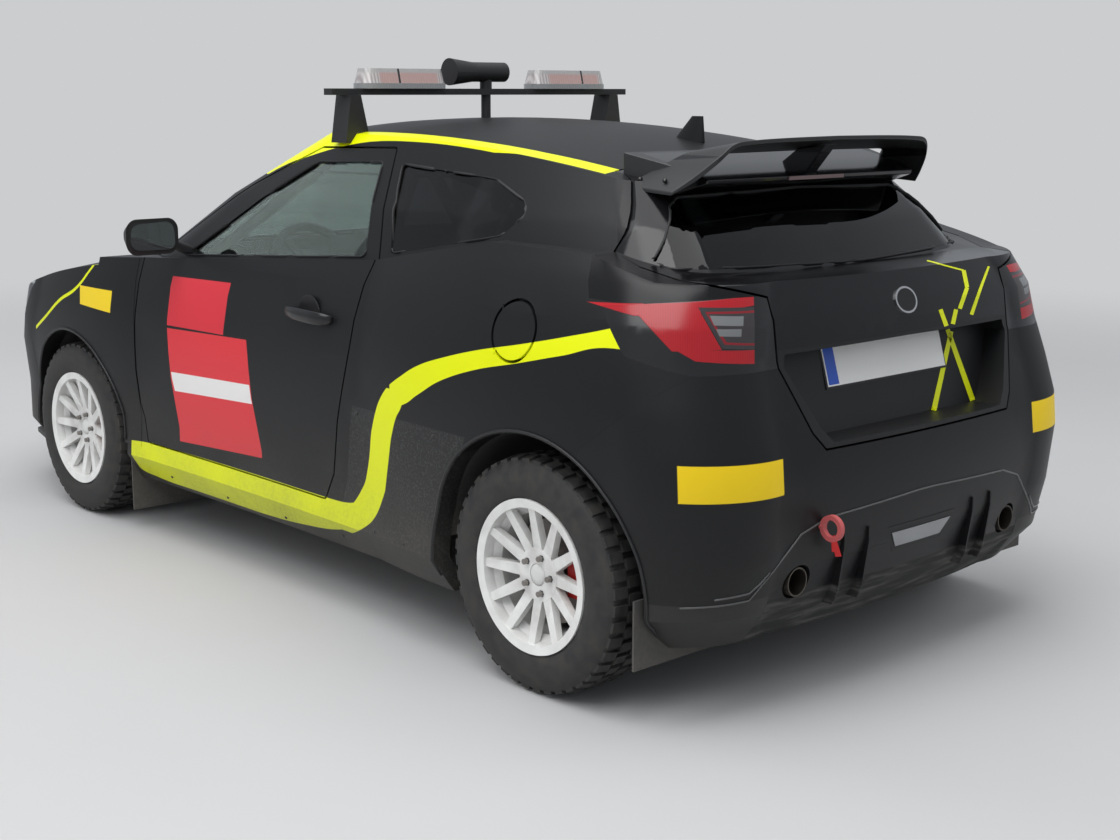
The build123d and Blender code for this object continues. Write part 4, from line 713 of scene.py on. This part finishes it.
def keep(name, mesh, finish, body, smooth=True):
    """Makes a piece of a bmesh, with one finish or several, that rides on a body."""
    made = bpy.data.meshes.new(name)
    bmesh.ops.recalc_face_normals(mesh, faces=mesh.faces)
    mesh.to_mesh(made)
    mesh.free()
    for face in made.polygons:
        face.use_smooth = smooth
    for each in finish.split():
        made.materials.append(finishes[each])
    piece = bpy.data.objects.new(name, made)
    bpy.context.scene.collection.objects.link(piece)
    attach(piece, body)
    return piece


def circle(steps):
    """Cosine and sine of even steps round a turn."""
    turns = [2 * math.pi * step / steps for step in range(steps)]
    return [(math.cos(turn), math.sin(turn)) for turn in turns]


def bridge(mesh, rings, material=0, capped=True):
    """Joins rings that have equal numbers of corners by faces, and closes the ends."""
    count = len(rings[0])
    loops = [(first[i], first[(i + 1) % count], second[(i + 1) % count], second[i])
             for first, second in zip(rings, rings[1:]) for i in range(count)]
    if capped:
        loops += [rings[0][::-1], rings[-1]]
    for loop in loops:
        mesh.faces.new(loop).material_index = material


def add_rings(mesh, rows, material=0, capped=True):
    bridge(mesh, [[mesh.verts.new(point) for point in row] for row in rows], material, capped)


def add_lathe(mesh, profile, steps, centre, sign):
    """Turns (along, radius) points about a line across the car through centre."""
    centre = Vector(centre)
    add_rings(mesh, [[centre + Vector((along * sign, radius * a, radius * b)) for a, b in circle(steps)]
                     for along, radius in profile], capped=False)


def add_tube(mesh, points, radius, sides, closed, flat):
    """A tube through points, with parallel rings. flat squeezes it along its second axis."""
    count = len(points)
    rings, normal = [], None
    for i, point in enumerate(points):
        ahead = points[(i + 1) % count] if closed or i < count - 1 else point
        behind = points[i - 1] if closed or i > 0 else point
        along = (ahead - behind).normalized()
        if normal is None:
            normal = along.orthogonal().normalized()
        normal = (normal - normal.project(along)).normalized()
        other = flat * along.cross(normal)
        rings.append([mesh.verts.new(point + radius * (a * normal + b * other)) for a, b in circle(sides)])
    if closed:
        shift = min(range(sides), key=lambda s: (rings[0][s].co - rings[-1][0].co).length)
        rings.append(rings[0][shift:] + rings[0][:shift])
    bridge(mesh, rings, capped=not closed)


def surface(*names):
    """Something to drop points on to: the outside of the named CAD nodes."""
    mesh = bmesh.new()
    for name in names:
        mesh.from_mesh(nodes[name].data)
    tree = BVHTree.FromBMesh(mesh)
    mesh.free()
    return tree


def dropped(tree, start, direction, lift=0.0):
    """Where a point meets the surface along a direction, lifted off it a little."""
    hit, normal, _, _ = tree.ray_cast(Vector(start), Vector(direction))
    if hit is None:
        return None
    if normal.dot(Vector(direction)) > 0:
        normal = -normal
    return hit + normal * lift


def along_line(points, spacing, closed=False):
    """Evenly spaced points along straight runs."""
    points = [Vector(p) for p in points]
    if closed:
        points.append(points[0])
    placed = []
    for a, b in zip(points, points[1:]):
        count = max(1, round((b - a).length / spacing))
        placed += [a.lerp(b, i / count) for i in range(count)]
    return placed if closed else placed + [points[-1]]


def rounded(points, radius, steps=4):
    """Rounds the corners of a closed flat outline."""
    points = [Vector(p) for p in points]
    placed = []
    for i, point in enumerate(points):
        before, after = points[i - 1] - point, points[(i + 1) % len(points)] - point
        cut = min(radius, before.length * 0.45, after.length * 0.45)
        start, end = point + before.normalized() * cut, point + after.normalized() * cut
        for step in range(steps + 1):
            t = step / steps
            placed.append((1 - t) ** 2 * start + 2 * t * (1 - t) * point + t**2 * end)
    return placed


def laid_tube(mesh, tree, points, direction, radius, flat=0.6, closed=True):
    """A strip laid along points that are dropped on to a surface."""
    spots = [dropped(tree, point, direction) for point in points]
    spots = [spot for spot in spots if spot is not None]
    if len(spots) > 2:
        add_tube(mesh, spots, radius, 8, closed, flat)


def laid_patch(mesh, tree, corners, rows, origin=None, lift=0.0008, material=0, thick=0.0016):
    """A thin four-sided sheet laid on a surface, seen from a point or from behind.

    It breaks where the surface steps."""
    a, b, c, d = [Vector(corner) for corner in corners]
    runs, last = [[]], None
    for i in range(rows + 1):
        ends = [start.lerp(end, i / rows) for start, end in ((a, b), (d, c))]
        ways = [(end - origin).normalized() if origin else FORWARD for end in ends]
        left, right = [dropped(tree, origin or end, way, lift) for end, way in zip(ends, ways)]
        if left is None or right is None or (left - right).length > 3 * (a - d).length + 0.02:
            runs.append([])
            last = None
            continue
        if last and (left - last).length > 4 * (b - a).length / rows + 0.004:
            runs.append([])
        last = left
        runs[-1].append((left, right, right + ways[0] * thick, left + ways[0] * thick))
    for run in runs:
        if len(run) > 1:
            add_rings(mesh, run, material)


def leaned(lean):
    """Up along a face that leans forward by an angle, and out of it."""
    return Vector((0, -math.sin(lean), math.cos(lean))), Vector((0, math.cos(lean), math.sin(lean)))


# Pieces


def soften():
    """Shades the painted panels smoothly and keeps their folds and cut edges crisp."""
    tree = bpy.data.node_groups.new("Smooth Skin", "GeometryNodeTree")
    tree.is_modifier = True
    for way in ("INPUT", "OUTPUT"):
        tree.interface.new_socket("Geometry", in_out=way, socket_type="NodeSocketGeometry")
    given, made = add_node(tree, "NodeGroupInput"), add_node(tree, "NodeGroupOutput")
    weld = add_node(tree, "GeometryNodeMergeByDistance", {"Distance": 0.00005})
    angle = add_node(tree, "GeometryNodeInputMeshEdgeAngle")
    fold = add_node(tree, "FunctionNodeCompare", {1: FOLD_ANGLE}, operation="GREATER_THAN")
    shade = add_node(tree, "GeometryNodeSetMeshNormal", {"Remove Custom": True}, mode="SHARPNESS")
    for start, end in ((given.outputs[0], weld.inputs["Geometry"]), (weld.outputs[0], shade.inputs["Mesh"]),
                       (angle.outputs["Unsigned Angle"], fold.inputs[0]),
                       (fold.outputs[0], shade.inputs["Edge Sharpness"]), (shade.outputs[0], made.inputs[0])):
        tree.links.new(start, end)
    for name in SMOOTH_NODES:
        nodes[name].modifiers.new("smooth_skin", "NODES").node_group = tree


def make_seals():
    """Rubber seals round the windows and lips round the wheel arches."""
    for side, sign in SIDES.items():
        for name, outline, skin, body in (
                ("window_seal_", DOOR_WINDOW, surface("door_" + side, "door_glass_" + side), "door_" + side),
                ("quarter_seal_", QUARTER_WINDOW, surface("side_frame_" + side, "quarter_windows"), "body")):
            mesh = bmesh.new()
            line = along_line(rounded([(sign * BESIDE, y, z) for y, z in outline], 0.02), 0.02, True)
            laid_tube(mesh, skin, line, (-sign, 0, 0), SIDE_SEAL)
            keep(name + side, mesh, "seal_rubber", body)
    front = surface("windscreen", "roof_panel", "cowl", "side_frame_left", "side_frame_right")
    for name, outline, skin, start, direction, body in (
            ("windscreen_seal", WINDSCREEN, front, -3.0, 1, "body"),
            ("rear_window_seal", REAR_WINDOW, surface("rear_window", "tailgate"), 3.0, -1, "tailgate")):
        whole = [(x, start, z) for x, z in outline] + [(-x, start, z) for x, z in outline[-2:0:-1]]
        mesh = bmesh.new()
        laid_tube(mesh, skin, along_line(rounded(whole, 0.03), 0.03, True), (0, direction, 0), GLASS_SEAL)
        keep(name, mesh, "seal_rubber", body)
    skin = surface("side_frame_left", "side_frame_right", "front_fenders", "front_bumper", "rear_bumper")
    mesh = bmesh.new()
    for sign in SIDES.values():
        for middle, height, radius, first, last in ARCHES:
            line = []
            for step in range(61):
                angle = math.radians(first + (last - first) * step / 60)
                y, z = middle + radius * math.cos(angle), height + radius * math.sin(angle)
                line.append((sign * BESIDE, y, z))
            laid_tube(mesh, skin, line, (-sign, 0, 0), ARCH_LIP, 0.7, False)
    keep("arch_lips", mesh, "trim_plastic", "body")


def tread_block(centre, sign, inner, outer, skew, turn):
    """Eight corners of a block of the tread. Those at the shoulders stand a little lower."""
    half = math.pi / TREAD_COUNT * BLOCK_SHARE
    rows = []
    for level, shoulder, spread, shrink in BLOCK_LEVELS:
        row = []
        for along, swing in ((inner, -half), (outer, -half), (outer, half), (inner, half)):
            radius = level - (shoulder if abs(along) > 0.08 else 0)
            angle = turn + swing * spread + skew * along * 6 * half
            if abs(along) > 0.01:
                along -= math.copysign(shrink, along)
            out = Vector((along * sign, radius * math.cos(angle), radius * math.sin(angle)))
            row.append(Vector(centre) + out)
        rows.append(row)
    return rows


def make_tyres():
    """Gravel tyres: a carcass with shoulder blocks, and a raised bead ring."""
    steps = 72
    section = [(-a, r) for a, r in TYRE_SECTION] + TYRE_SECTION[-2::-1]
    for spot, (x, y, sign) in WHEELS.items():
        mesh = bmesh.new()
        add_lathe(mesh, section, steps, (x, y, WHEEL_Z), sign)
        for i in range(TREAD_COUNT):
            for row, (inner, outer, skew) in enumerate(TREAD_ROWS):
                turn = 2 * math.pi * (i + 0.5 * (row % 2)) / TREAD_COUNT
                add_rings(mesh, tread_block((x, y, WHEEL_Z), sign, inner, outer, skew, turn))
        piece = keep("gravel_tyre_" + spot, mesh, "tyre_rubber", "wheel_" + spot, smooth=False)
        for face in piece.data.polygons:
            carcass = face.index < steps * (len(section) - 1)
            face.use_smooth = carcass and face.area > 2.5e-4 and len(face.vertices) == 4
        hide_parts("tyre_" + spot)


def make_wheel_details():
    """Nuts in their pockets and a centre cap on each rim."""
    for spot, (x, y, sign) in WHEELS.items():
        mesh = bmesh.new()
        for a, b in circle(5):
            add_lathe(mesh, WHEEL_NUT, 6, (x, y + NUT_CIRCLE * a, WHEEL_Z + NUT_CIRCLE * b), sign)
        keep("wheel_nuts_" + spot, mesh, "nut_steel", "wheel_" + spot, smooth=False)
        mesh = bmesh.new()
        add_lathe(mesh, CENTRE_CAP, 32, (x, y, WHEEL_Z), sign)
        keep("centre_cap_" + spot, mesh, "cap_white", "wheel_" + spot)


def make_handle(side, sign):
    """A grip over a round hollow on a door."""
    middle = dropped(surface("door_" + side), (sign * BESIDE, HANDLE_Y, HANDLE_Z), (-sign, 0, 0))
    mesh = bmesh.new()
    add_lathe(mesh, HANDLE_HOLLOW, 40, middle, sign)
    keep("handle_hollow_" + side, mesh, "seal_rubber", "door_" + side)
    mesh = bmesh.new()
    add_rings(mesh, [[(middle.x + sign * (out + GRIP_HALF_DEPTH * a), HANDLE_Y + along,
                       HANDLE_Z + high * b - GRIP_SLOPE * along) for a, b in circle(12)]
                     for along, out, high in GRIP])
    keep("handle_grip_" + side, mesh, "handle_black", "door_" + side)


def make_mirror_glass(side, sign):
    mesh = bmesh.new()
    outline = rounded([(sign * x, 0, z) for x, z in MIRROR_GLASS], 0.035, 8)
    add_rings(mesh, [[(p.x, y, p.z) for p in outline] for y in MIRROR_FACES])
    keep("mirror_glass_" + side, mesh, "mirror_silver", "door_" + side, smooth=False)


def make_badge_place():
    """A bare ring where the tailgate carries its badge."""
    up, out = leaned(BADGE_LEAN)
    centre = dropped(surface("tailgate"), BADGE_PLACE + out * 0.3, -out)
    mesh = bmesh.new()
    for radius, height, index in BADGE_RINGS:
        tall = up * BADGE_FLATNESS * radius
        low, high = [[mesh.verts.new(centre + out * h + Vector((radius * a, 0, 0)) + tall * b)
                      for a, b in circle(48)] for h in (-0.004, height)]
        mesh.faces.new(high).material_index = index
        bridge(mesh, [low, high], index, capped=False)
    keep("badge_place", mesh, "reflector seal_rubber", "tailgate", smooth=False)


def make_diffuser_edge(skin):
    """A line along the diffuser's upper edge, coloured pale as a painted highlight."""
    mesh = bmesh.new()
    edge = along_line(DIFFUSER_EDGE + [(-x, y, z) for x, y, z in DIFFUSER_EDGE[::-1]], 0.03)
    laid_tube(mesh, skin, [(x, BEHIND, z) for x, _, z in edge], FORWARD, EDGE_LINE, 0.7, False)
    # the line's pale colour is a painted highlight along the edge
    keep("diffuser_edge", mesh, "painted_highlight_line", "body")


def make_slot_lamp(skin):
    """A flat lamp in the middle of the diffuser, with its lens."""
    mesh = bmesh.new()
    for index, corners in enumerate((SLOT_LAMP, SLOT_LENS)):
        corners = [(x, BEHIND, z) for x, z in corners]
        laid_patch(mesh, skin, corners, 12, lift=0.001 + 0.0015 * index, material=index)
    keep("slot_lamp", mesh, "seal_rubber lamp_clear", "body", smooth=False)


def make_diffuser_fins(skin):
    """Upright fins that follow the diffuser's face."""
    mesh = bmesh.new()
    for x in FIN_PLACES:
        hits = [dropped(skin, (x, BEHIND, z), FORWARD) for z in FIN_HEIGHTS]
        profile = [(hit.y, z) for hit, z in zip(hits, FIN_HEIGHTS) if hit is not None]
        if len(profile) > 2:
            outline = [(y + FIN_ROOT, z) for y, z in profile]
            for i, (y, z) in reversed(list(enumerate(profile))):
                outline.append((y + FIN_TOP + FIN_FLARE * (1 - i / (len(profile) - 1)), z))
            add_rings(mesh, [[(x + half, y, z) for y, z in outline] for half in (-FIN_HALF, FIN_HALF)])
    keep("diffuser_fins", mesh, "diffuser_plastic", "body", smooth=False)


def make_corner_creases():
    """A crease at each corner of the rear bumper, drawn as a pale line of painted highlight."""
    corner = surface("rear_bumper")
    mesh = bmesh.new()
    for sign in SIDES.values():
        line = along_line([(sign * x, BEHIND, z) for x, z in CORNER_CREASE], 0.02)
        laid_tube(mesh, corner, line, FORWARD, CREASE, 0.8, False)
    # the crease's pale colour is a painted highlight
    keep("corner_creases", mesh, "painted_highlight_line", "body")


def make_tow_ribbon():
    """A ribbon with two tails, knotted to the towing ring."""
    mesh = bmesh.new()
    for tail in RIBBON_TAILS:
        add_rings(mesh, [[TOW_RING + tail + Vector(corner) for corner in RIBBON_END],
                         [TOW_RING + Vector(corner) for corner in RIBBON_KNOT]])
    keep("tow_ribbon", mesh, "ribbon_red", "body", smooth=False)


def make_bolts():
    """Small bolts along the foot of each sill and at the end of its film."""
    for side, sign in SIDES.items():
        skin = surface("side_frame_" + side)
        mesh = bmesh.new()
        for y, z in SILL_BOLTS:
            spot = dropped(skin, (sign * BESIDE, y, z), (-sign, 0, 0))
            if spot is not None:
                add_lathe(mesh, SILL_BOLT, 10, spot, sign)
        keep("sill_bolts_" + side, mesh, "nut_steel", "body")


def make_tapes():
    """An X of bright tape on the right of the tailgate, and thinner lines above it."""
    skin = surface("tailgate")
    mesh = bmesh.new()
    for start, end, near, far in TAPES:
        start, end = Vector(start), Vector(end)
        across = (end - start).cross(start - CAMERA_PLACE).normalized()
        corners = (start - across * near, end - across * far, end + across * far, start + across * near)
        laid_patch(mesh, skin, corners, 30, CAMERA_PLACE)
    keep("tailgate_tapes", mesh, "tape_yellow", "tailgate", smooth=False)


def smooth_rows(rows, steps):
    """More rows between the given ones, on smooth curves through their points."""
    values = [[x, *[n for point in points for n in point]] for x, points in rows]
    placed = []
    for i in range(len(values) - 1):
        around = values[max(i - 1, 0)], values[i], values[i + 1], values[min(i + 2, len(values) - 1)]
        for t in [step / steps for step in range(steps)]:
            placed.append([0.5 * (2 * q + (r - p) * t + (2 * p - 5 * q + 4 * r - s) * t**2
                                  + (3 * q - p - 3 * r + s) * t**3) for p, q, r, s in zip(*around)])
    return placed + [values[-1]]


def make_spoiler():
    """The roof spoiler: a base over the rear window, a post, and a crowned blade with turned ends."""
    mesh = bmesh.new()
    half = smooth_rows(BLADE, 6)
    rows = [[-row[0], *row[1:]] for row in half[:0:-1]] + half
    add_rings(mesh, [[(row[0], row[1 + 2 * k], row[2 + 2 * k]) for k in range(4)] for row in rows])
    for outline, (near, far) in ((SPOILER_BASE, BASE_HALVES), (SPOILER_POST, POST_HALVES)):
        first, last = min(y for y, _ in outline), max(y for y, _ in outline)
        end = [(near + (far - near) * (y - first) / (last - first), y, z) for y, z in outline]
        add_rings(mesh, [[(sign * x, y, z) for x, y, z in end] for sign in SIDES.values()])
    piece = keep("spoiler_skin", mesh, "spoiler_film", "tailgate")
    bevel = piece.modifiers.new("soft_edges", "BEVEL")
    bevel.width, bevel.segments, bevel.limit_method, bevel.angle_limit = 0.003, 2, "ANGLE", 0.6
    bevel.harden_normals = True
    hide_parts("roof_spoiler")


def make_brake_lamp():
    """The high brake lamp under the spoiler's blade."""
    mesh = bmesh.new()
    (a, b, c), (d, e, f) = BRAKE_LAMP
    add_rings(mesh, [[(a, b, z), (d, b, z), (d, e, z), (a, e, z)] for z in (c, f)])
    keep("high_brake_lamp", mesh, "brake_lens", "tailgate", smooth=False)


def make_spoiler_bolts():
    mesh = bmesh.new()
    for sign in SIDES.values():
        for x, y, z in SPOILER_BOLTS:
            add_lathe(mesh, SPOILER_BOLT, 10, (sign * x, y, z), sign)
    keep("spoiler_bolts", mesh, "nut_steel", "tailgate")


def make_plate():
    """A blank white plate in a frame, with a blue band at its left end, on the tailgate."""
    up, out = leaned(PLATE_LEAN)
    half, high = settings().plate_width / 2, settings().plate_height / 2
    face, band = PLATE_FRAME + PLATE_THICK, half - BAND_MARGIN
    mesh = bmesh.new()
    # left and right end, half height, back and front face, finish
    for left, right, tall, back, front, index in (
            (-half - PLATE_FRAME, half + PLATE_FRAME, high + PLATE_FRAME, -PLATE_THICK, PLATE_FRAME, 2),
            (-half, half, high, PLATE_FRAME, face, 0),
            (band - BAND_WIDTH, band, high - BAND_MARGIN, face, face + BAND_THICK, 1)):
        corners = ((left, -tall), (right, -tall), (right, tall), (left, tall))
        add_rings(mesh, [[PLATE_PLACE + Vector((a, 0, 0)) + up * b + out * depth for a, b in corners]
                         for depth in (back, front)], index)
    keep("number_plate", mesh, "plate_white plate_blue trim_plastic", "tailgate", smooth=False)


# Stage


def make_floor():
    """A pale floor that fades into the backdrop."""
    mesh = bmesh.new()
    bmesh.ops.create_grid(mesh, x_segments=1, y_segments=1, size=40)
    made = bpy.data.meshes.new("floor")
    mesh.to_mesh(made)
    mesh.free()
    floor = bpy.data.objects.new("floor", made)
    bpy.context.scene.collection.objects.link(floor)
    finish = Finish("floor_pale", settings().floor_colour)
    tree = finish.tree
    distance = wire(tree, "ShaderNodeVectorMath", {0: finish.point}, "Value", operation="LENGTH")
    finish.paint(1.0, finish.point.noise(1.5, 4.0).smooth(0, 1, 0.97, 1.0), "MULTIPLY")
    finish.set(roughness=0.9)
    seen = Wire(tree, add_node(tree, "ShaderNodeLightPath").outputs["Is Camera Ray"])
    pale = wire(tree, "ShaderNodeEmission", {"Color": settings().backdrop_colour})
    shader = Wire(tree, finish.shader.outputs[0])
    mix = wire(tree, "ShaderNodeMixShader", {0: distance.smooth(*FLOOR_FADE) * seen, 1: shader, 2: pale})
    plug(tree.nodes["Material Output"].inputs["Surface"], mix)
    made.materials.append(finishes["floor_pale"])


def make_sky():
    """Grey light for the car, and the backdrop where the camera sees it or looks through glass."""
    world = bpy.data.worlds.new("soft_sky")
    bpy.context.scene.world = world
    world.use_nodes = True
    tree = world.node_tree
    rays = add_node(tree, "ShaderNodeLightPath").outputs
    seen = Wire(tree, rays["Is Camera Ray"]) | Wire(tree, rays["Is Transmission Ray"])
    colours = {0: seen, 6: (0.4, 0.42, 0.45), 7: settings().backdrop_colour}
    plug(tree.nodes["Background"].inputs["Color"], wire(tree, "ShaderNodeMix", colours, 2, data_type="RGBA"))


def make_stage():
    """The floor, the backdrop, soft lights, and the camera at the photograph's place."""
    scene = bpy.context.scene
    make_floor()
    make_sky()
    for name, place, size, power in LIGHTS:
        lamp = bpy.data.lights.new(name, "AREA")
        lamp.size = size
        lamp.energy = power * settings().light_level
        holder = bpy.data.objects.new(name, lamp)
        scene.collection.objects.link(holder)
        holder.location = place
        holder.visible_glossy = name in ("key_light", "top_light")
        holder.rotation_euler = (LIGHT_TARGET - Vector(place)).to_track_quat("-Z", "Y").to_euler()

    camera = bpy.data.cameras.new("photo_camera")
    camera.sensor_width = 36
    camera.lens = CAMERA_LENS
    camera.clip_end = 200
    holder = bpy.data.objects.new("photo_camera", camera)
    scene.collection.objects.link(holder)
    yaw, pitch, roll = CAMERA_TURN
    holder.matrix_world = (Matrix.Translation(CAMERA_PLACE) @ Matrix.Rotation(yaw - math.pi / 2, 4, "Z")
                           @ Matrix.Rotation(pitch + math.pi / 2, 4, "X") @ Matrix.Rotation(roll, 4, "Z"))
    scene.camera = holder
    scene.view_settings.view_transform = "Standard"


# The add-on


def colour_option(name, description, default):
    return bpy.props.FloatVectorProperty(
        name=name, description=description, subtype="COLOR", size=3, default=default)


class RallyDress(bpy.types.PropertyGroup):
    film_colour: colour_option("Film", "Satin film over the body", (0.0095, 0.01, 0.011))
    stripe_colour: colour_option("Stripes", "Bright stripes on the body", (0.74, 0.8, 0.0))
    floor_colour: colour_option("Floor", "Floor under the car", (0.5, 0.5, 0.5))
    backdrop_colour: colour_option("Backdrop", "Backdrop behind the car", (0.6, 0.61, 0.62))
    plate_width: bpy.props.FloatProperty(
        name="Plate width", description="Width of the blank number plate", default=0.52, unit="LENGTH")
    plate_height: bpy.props.FloatProperty(
        name="Plate height", description="Height of the blank number plate", default=0.113, unit="LENGTH")
    light_level: bpy.props.FloatProperty(
        name="Light", description="Strength of the studio lamps", default=1.0, min=0.0, subtype="FACTOR")


class RALLY_OT_finishes(bpy.types.Operator):
    """Builds every finish and lays it on the CAD nodes"""

    bl_idname = "rally.finishes"
    bl_label = "Finishes"

    def execute(self, context):
        build_groups()
        body_finish("body_film", [])
        body_finish("door_film", DOOR_PANELS)
        bumper_finish()
        diffuser_finish()
        tailgate_finish()
        spoiler_finish()
        tail_lamp_finish()
        beacon_finish()
        headlamp_finish()
        rim_finish()
        tyre_finish()
        disc_finish()
        hub_finish()
        glass_finish("clear_glass", (0.5, 0.62, 0.57))
        glass_finish("smoked_glass", (0.012, 0.013, 0.014))
        glass_finish("film_glass", (0.035, 0.038, 0.042))
        for name, (colour, roughness, more) in PLAIN.items():
            plain_finish(name, colour, roughness, **more)
        for finish, names in NODE_FINISHES.items():
            for name in names.split():
                nodes[name].data.materials.clear()
                nodes[name].data.materials.append(finishes[finish])
        return {"FINISHED"}


class RALLY_OT_skin(bpy.types.Operator):
    """Shades the panels smoothly"""

    bl_idname = "rally.skin"
    bl_label = "Smooth skin"

    def execute(self, context):
        soften()
        return {"FINISHED"}


class RALLY_OT_seals(bpy.types.Operator):
    """Builds the window seals and the arch lips"""

    bl_idname = "rally.seals"
    bl_label = "Seals"

    def execute(self, context):
        make_seals()
        return {"FINISHED"}


class RALLY_OT_tyres(bpy.types.Operator):
    """Builds the gravel tyres"""

    bl_idname = "rally.tyres"
    bl_label = "Tyres"

    def execute(self, context):
        make_tyres()
        return {"FINISHED"}


class RALLY_OT_wheel_details(bpy.types.Operator):
    """Builds the wheel nuts and the centre caps"""

    bl_idname = "rally.wheel_details"
    bl_label = "Nuts and caps"

    def execute(self, context):
        make_wheel_details()
        return {"FINISHED"}


class RALLY_OT_doors(bpy.types.Operator):
    """Builds the door handles and the mirror glass"""

    bl_idname = "rally.doors"
    bl_label = "Handles and mirrors"

    def execute(self, context):
        for side, sign in SIDES.items():
            make_handle(side, sign)
            make_mirror_glass(side, sign)
        return {"FINISHED"}


class RALLY_OT_badge_place(bpy.types.Operator):
    """Builds the bare ring on the tailgate"""

    bl_idname = "rally.badge_place"
    bl_label = "Badge place"

    def execute(self, context):
        make_badge_place()
        return {"FINISHED"}


class RALLY_OT_diffuser(bpy.types.Operator):
    """Builds the edge line, the slot lamp and the fins of the diffuser"""

    bl_idname = "rally.diffuser"
    bl_label = "Diffuser"

    def execute(self, context):
        skin = surface("rear_diffuser", "rear_bumper")
        make_diffuser_edge(skin)
        make_slot_lamp(skin)
        make_diffuser_fins(skin)
        return {"FINISHED"}


class RALLY_OT_bumper_corners(bpy.types.Operator):
    """Builds the creases of the rear bumper"""

    bl_idname = "rally.bumper_corners"
    bl_label = "Bumper corners"

    def execute(self, context):
        make_corner_creases()
        return {"FINISHED"}


class RALLY_OT_tow_ribbon(bpy.types.Operator):
    """Builds the ribbon on the towing ring"""

    bl_idname = "rally.tow_ribbon"
    bl_label = "Towing ribbon"

    def execute(self, context):
        make_tow_ribbon()
        return {"FINISHED"}


class RALLY_OT_bolts(bpy.types.Operator):
    """Builds the bolts along the sills"""

    bl_idname = "rally.bolts"
    bl_label = "Sill bolts"

    def execute(self, context):
        make_bolts()
        return {"FINISHED"}


class RALLY_OT_tapes(bpy.types.Operator):
    """Builds the bright tapes on the tailgate"""

    bl_idname = "rally.tapes"
    bl_label = "Tapes"

    def execute(self, context):
        make_tapes()
        return {"FINISHED"}


class RALLY_OT_spoiler(bpy.types.Operator):
    """Builds the spoiler's skin, its brake lamp and its bolts"""

    bl_idname = "rally.spoiler"
    bl_label = "Roof spoiler"

    def execute(self, context):
        make_spoiler()
        make_brake_lamp()
        make_spoiler_bolts()
        return {"FINISHED"}


class RALLY_OT_plate(bpy.types.Operator):
    """Builds the blank number plate"""

    bl_idname = "rally.plate"
    bl_label = "Number plate"

    def execute(self, context):
        make_plate()
        return {"FINISHED"}


class RALLY_OT_stage(bpy.types.Operator):
    """Builds the floor, the lights and the camera"""

    bl_idname = "rally.stage"
    bl_label = "Stage"

    def execute(self, context):
        make_stage()
        return {"FINISHED"}


OPERATORS = (
    RALLY_OT_finishes, RALLY_OT_skin, RALLY_OT_seals, RALLY_OT_tyres, RALLY_OT_wheel_details, RALLY_OT_doors,
    RALLY_OT_badge_place, RALLY_OT_diffuser, RALLY_OT_bumper_corners, RALLY_OT_tow_ribbon, RALLY_OT_bolts,
    RALLY_OT_tapes, RALLY_OT_spoiler, RALLY_OT_plate, RALLY_OT_stage,
)


class RALLY_PT_sidebar(bpy.types.Panel):
    bl_idname = "RALLY_PT_sidebar"
    bl_label = "Rally hatch"
    bl_space_type = "VIEW_3D"
    bl_region_type = "UI"
    bl_category = "Rally"

    def draw(self, context):
        for name in RallyDress.__annotations__:
            self.layout.prop(context.scene.rally_dress, name)
        for operator in OPERATORS:
            self.layout.operator(operator.bl_idname)


def register():
    for each in (RallyDress, *OPERATORS, RALLY_PT_sidebar):
        bpy.utils.register_class(each)
    bpy.types.Scene.rally_dress = bpy.props.PointerProperty(type=RallyDress)


def unregister():
    del bpy.types.Scene.rally_dress
    for each in (RALLY_PT_sidebar, *reversed(OPERATORS), RallyDress):
        bpy.utils.unregister_class(each)


def main():
    register()
    for operator in OPERATORS:
        getattr(bpy.ops.rally, operator.bl_idname.split(".")[1])()


if __name__ == "__main__":
    main()
